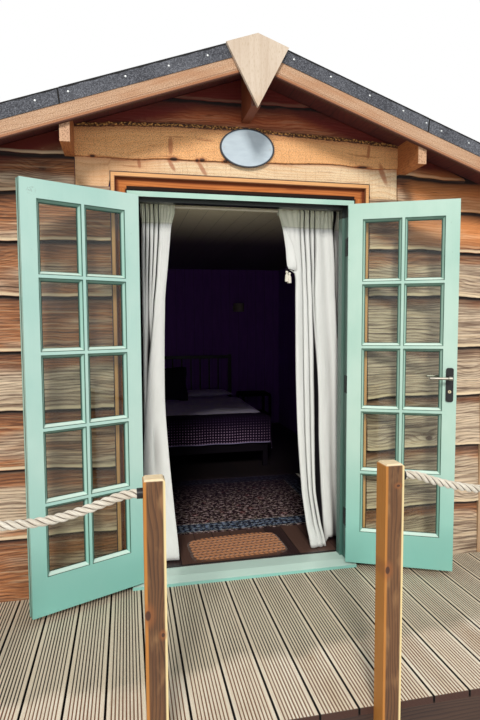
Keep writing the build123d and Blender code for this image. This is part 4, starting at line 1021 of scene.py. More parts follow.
def around_panes(name, body, side, opened, rims, finish):
    """A mitred rim round every pane, for each of the rims: its place, growth, width and sinking."""
    bm = bmesh.new()
    for column in range(2):
        for row in range(5):
            x = FIRST_PANE_X + PANE_WIDE / 2 + column * (PANE_WIDE + GLAZING_BAR)
            z = FIRST_PANE_Z + PANE_HIGH / 2 + row * (PANE_HIGH + GLAZING_BAR)
            for y, grow, wide, sink in rims:
                made = bmesh.ops.create_grid(bm, x_segments=1, y_segments=1, size=0.5)["verts"]
                spread = (PANE_WIDE + 2 * grow, PANE_HIGH + 2 * grow, 1)
                put(bm, made, (x, y, z), spread, math.pi / 2, "X")
                bm.normal_update()
                middle = list(made[0].link_faces)
                rim = bmesh.ops.inset_region(bm, faces=middle, thickness=wide, depth=sink,
                                             use_even_offset=True, use_boundary=True)["faces"]
                bmesh.ops.delete(bm, geom=middle, context="FACES")
                bmesh.ops.solidify(bm, geom=rim, thickness=LINE_THICK)
    turn = (Matrix.Translation((-PIN_X, PIN_Y, 0)) @ Matrix.Rotation(-opened, 4, "Z")
            @ Matrix.Translation((PIN_X, -PIN_Y, 0)))
    bmesh.ops.transform(bm, verts=bm.verts, matrix=Matrix.Diagonal((-side, 1, 1, 1)) @ turn)
    finish_piece(name, bm, finish, body)


for leaf, side, opened, green in (("left_door", -1, LEFT_OPEN, left_green),
                                  ("right_door", 1, RIGHT_OPEN, right_green)):
    around_panes(leaf + "_putty_lines", leaf, side, opened, LINES, putty_and_shade)
    around_panes(leaf + "_beads", leaf, side, opened, BEADS, green)
print("every pane has its beads and lines")

# %% [markdown]
# ## Hinges, plates and lever
# Hinges and plates are black satin metal, and the lever is bright satin metal with fine turned lines.
# The lock's cylinder is part of its plate, so a round mask about its axis makes it bright, and a dark
# slot for the key is painted shade.

# %% Metal finishes
LOCK_X, LOCK_Y, CYLINDER_Z = 1.07282, -0.25794, 1.232
BLACK = (44, 44, 46), (22, 22, 24), 0.38, 0.35


def rubbed_metal(name, pale, deep, rough, metallic):
    metal = Finish(name, Metallic=metallic)
    hair = metal.cloud((500, 500, 60), detail=3)
    cloud = metal.cloud(40, detail=4)
    metal.colour = metal.mix((cloud * 0.7 + hair * 0.3).least(1), deep, pale)
    metal.give("Roughness", cloud.fade(0.3, 0.7, rough - 0.08, rough + 0.1))
    metal.seal(0.0002, hair)
    return metal


black_metal = rubbed_metal("satin black metal", *BLACK)
dress(black_metal, "left_hinge_flaps", "right_hinge_flaps", "frame_hinge_flaps", "rope_sockets")
plate_metal = rubbed_metal("lock plate metal", *BLACK)
kx, ky, kz = plate_metal.place()
aside = (kx - LOCK_X) * math.cos(RIGHT_OPEN) + (ky - LOCK_Y) * math.sin(RIGHT_OPEN)
above = kz - CYLINDER_Z
in_cylinder = ((aside * aside + above * above) ** 0.5).fade(0.0084, 0.0087, 1, 0)
# The dark slot for the key is painted shade.
key_slot_shade = aside.size().fade(0.0011, 0.0014, 1, 0) * above.size().fade(0.0045, 0.005, 1, 0)
plate_metal.darken(in_cylinder, (212, 198, 166)).darken(key_slot_shade, (16, 16, 16), 0.95)
plate_metal.give("Base Color", plate_metal.colour)
dress(plate_metal, "lock_plates")
lever_metal = rubbed_metal("lever metal", (186, 182, 172), (124, 120, 112), 0.42, 0.9)
dress(lever_metal, "door_handle")
rod_paint = rubbed_metal("rod paint", (214, 208, 188), (190, 182, 160), 0.4, 0.0)
dress(rod_paint, "curtain_rod")
print("metal finishes are on")

# %% [markdown]
# ## Grooved deck
# Deck boards have nine grooves along their top, so that shoes grip in the rain, between two plain
# margins. Each board is a fine grid across and a coarse one along, its rim extruded down to the
# joists. The height itself tells the finish where the grooves are: they are dark with dirt and with
# painted shade, while the ridges are worn pale. Nearer the wall the boards are painted darker as
# shade, darkest in the grooves, and further out their very pale colour is partly painted sunlight.

# %% Deck boards
BOARD, SPACING, BOARDS, FIRST_X = 0.145, 0.1515, 20, -1.49575
DECK_FRONT, DECK_BACK, DECK_TOP, DECK_UNDER = -1.1193, -0.035, 0.200, 0.172
GROOVES, MARGIN, GROOVE_DEPTH = 9, 0.085, 0.0032
deck_bm = bmesh.new()
for number in range(BOARDS):
    start = FIRST_X + number * SPACING

    def ridged(u, v, start=start, number=number):
        turn = math.tau * GROOVES * (u - MARGIN) / (1 - 2 * MARGIN)
        groove = max(0.0, (-math.cos(turn) - 0.05) / 0.95) if MARGIN < u < 1 - MARGIN else 0.0
        ease = 0.0022 * max(0.0, 1 - min(u, 1 - u) / 0.015)
        y = DECK_FRONT + (DECK_BACK - DECK_FRONT) * v
        cup = 0.0006 * noise.noise((number * 2.1, v * 2, 0)) - 0.0006
        return (start + BOARD * u, y, DECK_TOP + cup - GROOVE_DEPTH * groove - ease)
    faces = bend_grid(deck_bm, 78, 5, ridged, stretch=(BOARD, 1.084), shift=(number * 1.0, number * 3.1))
    drop_rim(deck_bm, {edge for face in faces for edge in face.edges}, DECK_UNDER)

deck = Timber("grooved deck", "y", (255, 248, 232), (228, 208, 180), (120, 88, 60),
              rings=60, wander=5, knots=0.03, line=0.3, Roughness=0.8)
board_own = deck.noise(deck.spot(((deck.x - FIRST_X) / SPACING).whole() * 5.17, 0.5), detail=0)
deck.darken(board_own.fade(0.3, 0.7), (236, 220, 196), 0.35)
wet = deck.noise(deck.spot(deck.x * 4, deck.y * 3.2, 3), detail=4)
deck.darken(wet.fade(0.5, 0.76), (184, 162, 132), 0.3)
scuff = deck.noise(deck.spot(deck.x * 260, deck.y * 14, 6), detail=3)
deck.darken(scuff.fade(0.58, 0.74), (156, 128, 98), 0.38)
# Painted shade: the boards nearer the wall are darker, with a wavy edge.
painted_shade_near_wall = (deck.y - deck.x * 0.08 + (wet - 0.5) * 0.3).fade(-0.80, -0.70)
deck.darken(painted_shade_near_wall, (206, 193, 170), 0.8)
# Grooves are dark with dirt and painted shade, much darker in the painted shade near the wall.
deck.darken(deck.z.fade(0.1972, 0.1992, 1, 0), deck.mix(painted_shade_near_wall, (118, 74, 48), (26, 15, 13)), 0.96)
deck.darken(deck.y.fade(DECK_FRONT + 0.001, DECK_FRONT + 0.003, 1, 0), (54, 30, 26), 0.9)
beside = ((deck.x - FIRST_X + (SPACING - BOARD) / 2) / SPACING).part()
deck.darken((beside - 0.5).size().fade(0.463, 0.476), (12, 8, 9), 0.98)
deck.seal(0.0009)
deck_boards = finish_piece("grooved_deck_boards", deck_bm, deck)
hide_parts("deck_boards")
print("deck has", BOARDS, "boards and", len(deck_boards.data.polygons), "faces")

# %% Deck screws
deck_screws_bm = bmesh.new()
low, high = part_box("deck_frame")
joist_lines = [low.y + 0.0225, low.y + (high.y - low.y) / 3, low.y + (high.y - low.y) * 2 / 3, high.y - 0.0225]
for number in range(BOARDS):
    for inset in (3 / 16, 13 / 16):
        for line in joist_lines:
            head = bmesh.ops.create_cone(deck_screws_bm, cap_ends=True, segments=10, radius1=0.0038,
                                         radius2=0.003, depth=0.0015)["verts"]
            middle = (FIRST_X + number * SPACING + BOARD * inset, line, DECK_TOP - 0.0022)
            bmesh.ops.translate(deck_screws_bm, verts=head, vec=middle)
finish_piece("deck_screws", deck_screws_bm, black_metal)
print(BOARDS * 8, "deck screws")

# %% [markdown]
# ## Posts
# The posts are planed pine: warm orange, dark on the faces partly as painted shade. Down each post's
# left side an almost yellow orange strip, and down its right front arris a cream strip, are painted
# light. The chamfered tops show cream end grain. A few knots sit where the real posts have them.

# %% Post finish
post = Timber("pine post", "z", (118, 80, 48), (62, 38, 23), (40, 20, 14),
              rings=70, wander=10, knots=0.025, sway=1.4, line=0.5, Roughness=0.62)
streak = post.cloud((130, 130, 5), detail=4, rough=0.65)
post.darken(streak.fade(0.54, 0.66), (78, 46, 28), 0.55)
scuffed = post.cloud((22, 22, 7), detail=3)
post.darken(scuffed.fade(0.5, 0.7), (176, 134, 90), 0.4)
POST_FACES = (-1.43075, -0.5985, 0.224, 1.39375)
# Painted light: an orange strip down each post's left side and a cream strip down its right front arris.
for face_x in POST_FACES:
    across = post.x - face_x
    here = across.over(-0.001) * (0.07 - across).over(0)
    forward_half = post.y.fade(-1.165, -1.150, 1, 0)
    post.darken(across.fade(0.006, 0.012, 1, 0) * here, (198, 130, 54), 0.8)
    post.darken(across.fade(0.059, 0.065) * here * forward_half, (250, 228, 172), 0.85)
for knot in ((-0.590, 0.681, 0.010, 0.018), (-0.543, 0.612, 0.006, 0.008), (0.235, 0.745, 0.009, 0.015),
             (0.271, 1.043, 0.007, 0.005)):
    spread = post.oval(post.x, post.z, *knot) ** 0.5
    post.darken(spread.fade(1.0, 3.2, 1, 0), (150, 90, 46), 0.6)
    post.darken(spread.fade(0.7, 1.1, 1, 0), (62, 34, 22), 0.9)
top_end = post.z.fade(1.1120, 1.1150)
end_rings = post.noise(post.spot(post.x * 60, post.y * 60, 3), detail=3)
post.colour = post.mix(top_end, post.colour, post.mix(end_rings, (236, 208, 160), (250, 234, 204)))
post.seal(0.0006)
dress(post, "deck_posts")
print("posts are oiled")

# %% [markdown]
# ## Curtains
# Two cream curtains are gathered on a thin rod. Each was traced as a few cross-sections from the hem
# to the heading: every section has the same list of points, from the wall side to the free edge, and
# a point says how far out it hangs and how deep in the room, in millimetres, and then how many
# percent of the light it has lost, if any. Splines along the cloth and down its height join them, so
# a fold keeps its own place and can be deep at the top, soft lower down and tucked behind its
# neighbour at the hem.

# %% Curtain cloth
linen = Finish("curtain linen", Roughness=0.95, Specular_IOR_Level=0.08)
cu, cv, _ = linen.place("UV")
slub = linen.flow(900, 30, detail=2)
slub_across = linen.flow(30, 900, detail=2)
weave = (cu * math.tau / 0.0024).sine() * (cv * math.tau / 0.0024).sine()
crease = linen.flow(14, 3, detail=3)
tone = slub * 0.4 + slub_across * 0.3 + crease.fade(0.3, 0.7) * 0.3
linen.colour = linen.mix(tone, (228, 232, 230), (252, 254, 254))
hung = linen.place()[2]
# Painted light: the heading is lighter and yellower, as the light on it and through it.
linen.darken(hung.fade(2.150, 2.170, 0, 0.6), (250, 253, 222))
# Painted shade: a thin darker line along the heading's stitch crease.
linen.darken((hung - 2.163).size().fade(0.001, 0.003, 0.3, 0), (120, 124, 108))
lost = linen.mark("lost_light")
linen.darken(lost.fade(0.07, 0.34, 0, 0.62), (106, 100, 98))
linen.darken(lost.fade(0.24, 0.44, 0, 0.97), (16, 9, 22))
linen.seal(0.0008, weave * 0.3 + slub + slub_across + crease * 2)

ROD_Y, ROD_Z, HEADING, TOP_PART = 0.200, 2.258, 2.236, 0.94
LEFT_SECTIONS = {
    2.236: "716 186 21, 640 186 21, 582 188 21, 558 188 50, 548 185 10, 531 184, 526 190 95, 521 184, 508 184, "
           "504 190 95, 499 184, 484 184, 479 190 95, 474 184, 459 184, 454 190 90, 448 184, 425 184, 395 184, "
           "370 184, 362 186",
    2.150: "716 215 25, 640 222 21, 582 222 19, 552 230 60, 545 188 10, 531 180, 526 232 100, 521 182, "
           "508 180, 504 234 100, 499 181, 484 180, 479 236 100, 474 181, 459 180, 454 234 100, 448 178, "
           "432 172, 410 172, 388 177, 385 183",
    2.000: "716 215 25, 640 222 21, 582 222 19, 556 232 70, 548 188 10, 536 180, 530 206 70, 525 182, 514 180, "
           "508 232 100, 502 181, 490 180, 486 232 95, 480 181, 468 180, 463 234 100, 457 178, 442 172, "
           "420 171, 403 175, 400 182",
    1.740: "716 215 25, 640 222 21, 582 222 19, 556 232 80, 549 190 20, 541 181, 536 184 10, 530 181, 524 182, "
           "517 196 35, 510 184, 504 182, 500 188 20, 497 183, 490 182, 485 234 100, 480 178, 465 172, "
           "446 170, 428 175, 425 182",
    1.200: "716 215 25, 640 222 21, 584 222 21, 558 232 80, 551 192 30, 545 184 10, 538 186 20, 528 198 50, "
           "520 206 80, 512 212 80, 506 216 80, 504 222 80, 508 228 80, 516 230 80, 524 228 90, 535 214 75, "
           "533 181 5, 510 172, 475 168, 438 175, 435 182",
    0.880: "716 215 25, 640 222 21, 590 224 25, 566 234 90, 560 200 70, 556 190 50, 548 194 50, 536 204 70, "
           "526 212 80, 518 216 80, 514 220 80, 516 226 80, 524 230 80, 534 230 80, 546 224 80, 556 206 50, "
           "552 180 5, 508 170, 488 184 25, 424 172, 420 180",
    0.560: "716 215 25, 640 222 21, 594 224 25, 572 234 90, 566 200 70, 562 190 50, 554 194 50, 542 204 70, "
           "530 212 80, 520 216 80, 516 220 80, 518 226 80, 526 230 80, 536 230 80, 548 224 80, 560 206 50, "
           "558 180 5, 510 168, 460 176 10, 398 170, 393 178",
    0.236: "716 215 25, 640 222 21, 594 224 25, 576 232 90, 570 204 70, 566 196 50, 558 198 50, 546 206 70, "
           "534 212 80, 524 216 80, 520 220 80, 522 226 80, 528 230 80, 538 230 80, 550 224 80, 562 208 50, "
           "560 184 5, 505 168, 440 172 5, 371 166, 366 174"}
RIGHT_SECTIONS = {
    2.236: "716 186 21, 650 187 21, 600 188 19, 590 190 90, 580 190 90, 570 185, 545 184, 520 186 10, 490 184, "
           "467 184, 460 190 90, 453 184, 436 184, 429 190 95, 423 184, 402 184, 395 190 95, 389 184, 374 184, "
           "368 190 70, 362 184, 330 183, 285 182, 246 184, 242 186, 240 187, 239 188",
    2.150: "716 225 21, 655 228 19, 602 222 17, 590 246 100, 578 246 100, 572 184, 545 176, 515 187 10, "
           "485 177, 467 182, 459 246 100, 453 183, 436 180, 429 242 100, 423 182, 402 180, 395 236 100, "
           "389 182, 374 180, 369 220 70, 363 180, 335 173, 300 169, 262 168, 258 163, 264 159, 274 158",
    2.040: "716 225 21, 660 228 19, 608 224 17, 598 248 100, 586 248 100, 580 186, 552 178, 522 188 10, "
           "490 178, 471 182, 461 240 100, 454 183, 441 180, 434 238 100, 428 182, 409 180, 402 214 70, "
           "396 182, 381 180, 374 206 50, 368 180, 340 174 5, 305 170 30, 280 169 30, 275 163, 286 158, "
           "320 157",
    1.925: "716 225 21, 662 228 19, 611 224 17, 604 248 100, 592 248 100, 586 186, 558 179, 528 188 12, "
           "494 179, 470 181, 462 206 60, 456 184, 447 181, 440 242 100, 434 182, 417 180, 409 196 40, "
           "402 182, 388 180, 381 198 35, 375 180, 356 173 5, 330 171 40, 295 170 40, 288 163, 302 158, "
           "337 158",
    1.895: "716 225 21, 662 228 19, 612 224 17, 605 248 100, 593 248 100, 587 186, 559 179, 529 188 12, "
           "494 179, 470 181, 462 204 50, 456 184, 448 181, 441 242 100, 435 182, 418 180, 410 195 40, "
           "403 182, 389 180, 382 197 30, 376 180, 358 173, 345 172, 338 174, 336 180 10, 338 188 40, "
           "342 196 60",
    1.740: "716 225 21, 664 228 19, 618 224 17, 611 248 100, 600 248 100, 594 186, 566 180, 536 189 15, "
           "500 180, 472 181, 463 198 30, 457 185, 452 182, 447 244 100, 443 182, 425 180, 418 193 35, "
           "411 182, 395 180, 388 196 30, 382 181, 364 173, 350 171, 342 174, 340 180 10, 342 188 40, "
           "346 196 60",
    1.250: "716 225 21, 680 228 21, 650 226 25, 642 248 100, 635 246 100, 629 190 10, 600 182 5, 566 191 20, "
           "530 181, 504 180, 495 184 10, 489 187 10, 484 194 50, 472 256 100, 461 190 42, 442 180, "
           "433 192 35, 424 182, 404 180, 396 195 35, 388 182, 369 174, 354 172, 347 175, 345 181 10, "
           "347 188 40, 351 196 60",
    0.900: "716 225 21, 690 228 21, 660 228 25, 652 244 100, 646 240 90, 640 192 15, 608 184 5, 574 193 25, "
           "540 183, 512 181, 503 185 10, 497 190 15, 492 198 50, 480 256 100, 468 192 42, 450 180, "
           "441 194 35, 432 182, 414 179, 406 194 35, 398 181, 380 174, 367 172, 361 175, 359 181 10, "
           "361 188 40, 365 196 60",
    0.580: "716 225 21, 690 228 21, 662 226 25, 656 238 90, 650 226 70, 644 194 20, 614 186 10, 584 197 30, "
           "556 185 5, 532 184, 523 188 10, 516 193 15, 508 204 50, 492 256 100, 476 190 42, 463 179, "
           "455 194 40, 447 181, 434 178, 427 194 40, 419 181, 404 173, 392 171, 386 174, 384 181 10, "
           "386 188 40, 390 196 60",
    0.380: "716 225 21, 690 228 21, 664 222 25, 658 228 70, 652 214 50, 645 196 25, 620 190 15, 596 201 35, "
           "572 189 10, 550 188 5, 540 192 10, 532 197 20, 524 208 50, 512 256 100, 508 186 42, 496 176, "
           "488 190 40, 478 177, 466 174, 459 188 30, 450 176, 436 170, 422 168, 414 171, 412 178 10, "
           "415 185 40, 419 193 60",
    0.236: "716 225 21, 690 228 21, 666 222 25, 660 224 60, 654 212 50, 646 200 35, 624 194 25, 604 204 40, "
           "582 194 20, 562 194 15, 552 198 20, 546 204 30, 542 214 50, 542 250 100, 541 182 42, 532 170, "
           "522 178 15, 512 168, 500 165, 490 172 10, 480 166, 466 162, 450 161, 441 165, 438 173 10, "
           "441 182 40, 446 190 60"}


def spline(knots, points, at):
    """The place on a smooth line that passes each of the points where `at` passes its knot."""
    k = next((i for i in range(1, len(knots) - 1) if at <= knots[i]), len(knots) - 1)
    part = (at - knots[k - 1]) / (knots[k] - knots[k - 1])
    first, last = points[k - 1], points[k]
    before, after = points[max(k - 2, 0)], points[min(k + 1, len(points) - 1)]
    eased = part * part * (3 - 2 * part)
    return (first + (last - before) * (0.5 * part * (1 - part) ** 2) + (last - first) * eased
            - (after - first) * (0.5 * part * part * (1 - part)))


def traced_point(words, side):
    x, y, lost = (*map(int, words.split()), 0)[:3]
    return Vector((side * x / 1000, y / 1000, lost / 100))


def thicken(piece, thick):
    """Give cloth its thickness, half on each side."""
    solid = piece.modifiers.new("cloth thickness", "SOLIDIFY")
    solid.thickness, solid.offset = thick, 0


def hang_curtain(name, side, sections, lift_hem):
    """A curtain through its traced sections and over the rod. lift_hem(x) raises its foot."""
    heights = sorted(sections)
    traced = [[traced_point(words, side) for words in sections[z].split(", ")] for z in heights]
    steps = [k / (len(traced[0]) - 1) for k in range(len(traced[0]))]
    rows = {}

    def lay(u, v):
        """Where the cloth is: x, y, z and the light it has lost."""
        if v not in rows:
            z = heights[0] + (HEADING - heights[0]) * min(v / TOP_PART, 1)
            rows[v] = z, [spline(heights, list(down), z) for down in zip(*traced)]
        z, across = rows[v]
        x, y, lost = spline(steps, across, u)
        low = min(max((1.0 - z) / 0.75, 0), 1)
        near_top = min(max((z - 2.10) / 0.10, 0), 1)
        gather = 0.0028 * math.sin(math.tau * 31 * u + 1.3 * math.sin(9 * u)) * near_top
        if v <= TOP_PART:
            ripple = 0.0026 * noise.noise((u * 11, z * 3, 2)) + 0.0016 * noise.noise((u * 34, z * 8, 5))
            y += gather + ripple * (1 - near_top)
            z += lift_hem(x) * low
        else:
            turn = (v - TOP_PART) / (1 - TOP_PART) * math.pi
            y = ROD_Y - 0.0145 * math.cos(turn) + gather * math.cos(turn)
            z += (0.036 + 0.006 * math.sin(math.tau * 23 * u)) * math.sin(turn)
        return x, y, z, min(max(lost, 0), 1)
    bm = bmesh.new()
    bend_grid(bm, 312, 96, lambda u, v: lay(u, v)[:3], stretch=(1.25, 2.03),
              marks=[("lost_light", lambda u, v: lay(u, v)[3])])
    middle = [Vector(lay(k / 400, 0.45)[:3]) for k in range(401)]
    curtain = finish_piece(name + "_cloth", bm, linen, outwards=False)
    thicken(curtain, 0.0016)
    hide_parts(name)


hang_curtain("curtain_left", -1, LEFT_SECTIONS, lambda x: 0.004)
hang_curtain("curtain_right", 1, RIGHT_SECTIONS, lambda x: 0.045 * min(max((x - 0.542) / 0.02, 0), 1))

# %% [markdown]
# ### Tassel
# A dark cord ties round the right curtain's leading edge, and two short cream tassels hang from it.
# A tassel is a turned head over a skirt of threads: its outline is spun about its middle, and the
# skirt's corners are pushed in and out by turns.

# %% Tassel and tie
tassel_bm = bmesh.new()
TIE = Vector((0.284, 0.149, 1.917))
TASSELS = ((-0.007, 0.0, 0.0), (0.010, 0.004, 0.008))
for x, y, drop_by in TASSELS:
    top = TIE + Vector((x, y, -0.008 - drop_by))
    outline = [(0.0005, 0), (0.0065, -0.002), (0.0085, -0.008), (0.006, -0.014), (0.0052, -0.017),
               (0.0095, -0.026), (0.0110, -0.045), (0.0115, -0.062), (0.0005, -0.060)]
    ring = [tassel_bm.verts.new(top + Vector((r, 0, z))) for r, z in outline]
    chain = [tassel_bm.edges.new(pair) for pair in zip(ring, ring[1:])]
    bmesh.ops.spin(tassel_bm, geom=ring + chain, cent=top, axis=(0, 0, 1), angle=math.tau, steps=24,
                   use_merge=True, use_normal_flip=False, use_duplicate=False)
for corner in tassel_bm.verts:
    for x, y, _ in TASSELS:
        flat = Vector((corner.co.x - TIE.x - x, corner.co.y - TIE.y - y, 0))
        if 0.004 < flat.length < 0.013 and corner.co.z < TIE.z - 0.034:
            swing = math.atan2(flat.y, flat.x)
            corner.co += flat.normalized() * 0.0011 * math.sin(swing * 12)
cream_thread = Finish("tassel thread", Roughness=0.85, Sheen_Weight=0.3)
thread = cream_thread.cloud((900, 900, 30), detail=2)
cream_thread.colour = cream_thread.mix(thread, (206, 198, 180), (250, 247, 238))
cream_thread.seal(0.0008, thread)
finish_piece("tassels", tassel_bm, cream_thread)

tie_bm = bmesh.new()


def tie_place(u, v):
    turn, swing = math.tau * u, math.tau * v
    ring = Vector((0.026 * math.cos(turn), 0.020 * math.sin(turn), 0.004 * math.sin(turn * 2)))
    out = Vector((math.cos(turn), math.sin(turn), 0))
    round_it = math.cos(swing) * out + math.sin(swing) * Vector((0, 0, 1))
    return TIE + Vector((0.018, 0.026, 0)) + ring + 0.0022 * round_it


bend_grid(tie_bm, 48, 8, tie_place, stretch=(0.14, 0.014))
dark_cord = Finish("dark tie cord", Roughness=0.8)
du, dv, _ = dark_cord.place("UV")
twist = ((du + dv) * math.tau / 0.003).sine()
dark_cord.colour = dark_cord.mix(twist * 0.5 + 0.5, (20, 18, 22), (58, 52, 60))
dark_cord.seal(0.0004, twist)
finish_piece("curtain_tie", tie_bm, dark_cord)
print("tassels hang from the tie")

# %% Rod joint
joint_bm = bmesh.new()
bmesh.ops.create_cone(joint_bm, cap_ends=True, segments=24, radius1=0.0098, radius2=0.0098, depth=0.026)
ease_edges(joint_bm, 0.0012)
put(joint_bm, joint_bm.verts, (-0.09, ROD_Y, ROD_Z), turned=math.pi / 2, axis="Y")
finish_piece("rod_joint", joint_bm, rod_paint)
print("rod joint is on")

# %% [markdown]
# ## The room
# Inside, walls of tongued boards are painted a very dark plum, so the room swallows the daylight; the
# plum partly stands in for the purple cast of the room's shade. The ceiling is a warm grey by the door
# and is painted plum further in, and the floor is painted darker deeper in, both as painted shade. A
# wall's finish reads the place on the wall, and draws a thin joint at every board.

# %% Walls, ceiling and floor
WALL_BOARD, FLOOR_BOARD = 0.12, 0.118


def painted_boards(name, pale, deep, axis, strength=0.8):
    wall = Finish(name, Roughness=0.7)
    x, y, _ = wall.place()
    across = x + y if axis == "xy" else x
    joint = ((across / WALL_BOARD).part() - 0.5).size().fade(0.485, 0.495)
    grain = wall.cloud((30, 30, 4), detail=3)
    wall.colour, wall.relief = wall.mix(grain, deep, pale), grain * 0.3 - joint
    return wall.darken(joint, (8, 6, 10), strength)


# The plum partly stands in for the purple cast of the room's shade.
plum = painted_boards("plum wall boards", (140, 78, 186), (108, 54, 150), "xy")
plum.seal(0.0012)
dress(plum, "front_wall_left", "front_wall_right", "front_gable_wall", "left_wall", "right_wall", "back_wall")
ceiling = painted_boards("ceiling boards", (255, 248, 214), (244, 232, 196), "x", 0.4)
# Painted shade: the ceiling turns plum deeper in the room.
ceiling.darken(ceiling.place()[1].fade(0.45, 2.1, 0, 0.92), (50, 26, 70)).seal(0.0012)
dress(ceiling, "ceiling")

floor = Timber("dark floor boards", "y", (64, 46, 44), (34, 24, 26), (18, 10, 12),
               rings=50, wander=6, knots=0.03, Roughness=0.5)
board_tone = floor.noise(floor.spot((floor.x / FLOOR_BOARD).whole() * 3.3, 1.5), detail=0)
floor.darken(board_tone.fade(0.35, 0.65), (108, 80, 68), 0.6)
floor.darken(((floor.x / FLOOR_BOARD).part() - 0.5).size().fade(0.475, 0.49), (8, 5, 5), 0.95)
# Painted shade: the floor turns almost black deeper in the room.
floor.darken(floor.y.fade(0.5, 1.9), (6, 2, 8), 0.96)
floor.seal(0.0008)
dress(floor, "floor")

strip_bm = bmesh.new()
bmesh.ops.create_cube(strip_bm, size=1)
put(strip_bm, strip_bm.verts, (0, 0.106, 0.2315), (1.18, 0.012, 0.005))
ease_edges(strip_bm, 0.0015)
finish_piece("threshold_strip", strip_bm, black_metal)
print("room is painted")

# %% [markdown]
# ## Doormat
# The coir mat is a braid sewn flat: thick plaits lie side by side, so its top is a field of slanting
# loops that lean left and right by turns. The relief is in the mesh, and the fibres are in the
# bump. A square grid becomes a mat with round corners by pulling its corners towards the middle.

# %% Doormat
MAT_CENTRE, MAT_HALF, MAT_TURN = (0.0, 0.287), (0.293, 0.163), math.radians(3)
MAT_FLOOR, MAT_THICK, MAT_FLAT, PLAIT_ROW, PLAIT_LOOP = 0.2303, 0.015, (0.59, 0.33), 0.036, 0.030


def round_corners(a, b, power=6):
    """Pull a point of the square -1..1 inwards near the corners."""
    reach = max(abs(a), abs(b))
    if reach == 0:
        return a, b
    pull = ((abs(a) / reach) ** power + (abs(b) / reach) ** power) ** (1 / power)
    return a / pull, b / pull


def plait(x, y):
    """Height from 0 to 1 of the braid at x, y metres from the mat's middle."""
    row = y / PLAIT_ROW
    side = 1 if math.floor(row) % 2 else -1
    across = abs(row - math.floor(row) - 0.5) * 2
    loop = abs(math.sin(math.pi * (x / PLAIT_LOOP + side * (row - math.floor(row)) * 0.9)))
    return (1 - across ** 4) * (0.35 + 0.65 * loop ** 0.6)


mat_bm = bmesh.new()


def mat_place(u, v):
    a, b = round_corners(2 * u - 1, 2 * v - 1)
    outwards = max(abs(2 * u - 1), abs(2 * v - 1))
    x, y = a * MAT_HALF[0], b * MAT_HALF[1]
    fray = 0.0025 * noise.noise((x * 90, y * 90, 3)) * outwards ** 8
    x, y = x * (1 + fray / 0.2), y * (1 + fray / 0.2)
    border = min(max((1 - outwards) / 0.05, 0), 1)
    z = MAT_FLOOR + MAT_THICK * (0.42 + 0.55 * plait(x, y) * border + 0.1 * border) - 0.0008
    return (MAT_CENTRE[0] + x * math.cos(MAT_TURN) - y * math.sin(MAT_TURN),
            MAT_CENTRE[1] + x * math.sin(MAT_TURN) + y * math.cos(MAT_TURN), z)


bend_grid(mat_bm, 190, 110, mat_place, stretch=MAT_FLAT)
drop_rim(mat_bm, mat_bm.edges, MAT_FLOOR)
coir = Finish("coir", Roughness=0.95, Sheen_Weight=0.2)
ox, oy, oz = coir.place()
fibres = coir.cloud((320, 320, 200), detail=4, rough=0.7)
shade = coir.noise(coir.spot(ox * 30, oy * 30), detail=2)
coir.colour = coir.mix((fibres * 0.7 + shade * 0.4).least(1), (126, 68, 38), (232, 160, 104))
# Painted shade: the low places between the plaits and round the edge are dark.
coir.darken(oz.fade(0.2395, 0.2446, 1, 0), (38, 16, 12), 0.9)
coir.seal(0.003, fibres)
doormat = finish_piece("braided_doormat", mat_bm, coir)
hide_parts("doormat")
print("doormat has", len(doormat.data.polygons), "faces")

# %% [markdown]
# ## Rug
# A thin patterned rug lies in front of the bed: a blue grey border between fine pale lines, round a
# dark field with a worn pattern of flowers and stems. The pattern is drawn from the UV map in
# metres. Flowers are Voronoi cells that petals cut into. Pale and dark flecks break it up. A plum
# darkening over all of it is painted shade of the dim room, stronger in worn patches, and towards
# the back of the room it is painted almost black, lost in the shade. The ends are fringed.

# %% Rug
RUG_LOW, RUG_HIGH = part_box("rug")
rug_wide, rug_deep = RUG_HIGH.x - RUG_LOW.x, RUG_HIGH.y - RUG_LOW.y
rug_bm = bmesh.new()


def rug_place(u, v):
    x, y = RUG_LOW.x + 0.004 + (rug_wide - 0.008) * u, RUG_LOW.y + 0.004 + (rug_deep - 0.008) * v
    ripple = 0.0012 * noise.noise((u * 6, v * 5, 1)) + 0.0012
    return x, y, 0.2345 + ripple


faces = bend_grid(rug_bm, 70, 50, rug_place, stretch=(rug_wide, rug_deep))
bmesh.ops.solidify(rug_bm, geom=faces, thickness=0.004)
wool = Finish("rug wool", Roughness=0.95, Specular_IOR_Level=0.05)
ru, rv, _ = wool.place("UV")
inset = (rug_wide / 2 - (ru - rug_wide / 2).size()).least(rug_deep / 2 - (rv - rug_deep / 2).size())
flower = wool.cells(wool.spot(ru * 9, rv * 9))
petal_turn = wool.flow(46, 46, detail=2)
bloom = (flower + petal_turn * 0.22).fade(0.30, 0.36, 1, 0)
stem = wool.cells(wool.spot(ru * 16, rv * 16), feature="DISTANCE_TO_EDGE").fade(0.02, 0.06, 1, 0)
scroll = wool.flow(20, 20, detail=2, bend=2.5).fade(0.47, 0.53)
wool.colour = wool.mix(scroll, (66, 44, 42), (110, 82, 74))
wool.darken(stem, (176, 160, 140), 0.7).darken(bloom, (150, 92, 84))
wool.darken((flower + petal_turn * 0.1).fade(0.10, 0.14, 1, 0), (206, 190, 164))
band_wave = ((ru + rv) * math.tau / 0.075).sine() * ((ru - rv) * math.tau / 0.075).sine()
band = wool.mix((band_wave + petal_turn).fade(0.55, 0.75), (74, 88, 108), (156, 168, 178))
in_band = inset.over(0.02) * (1 - inset.over(0.155))
wool.darken(in_band, band)
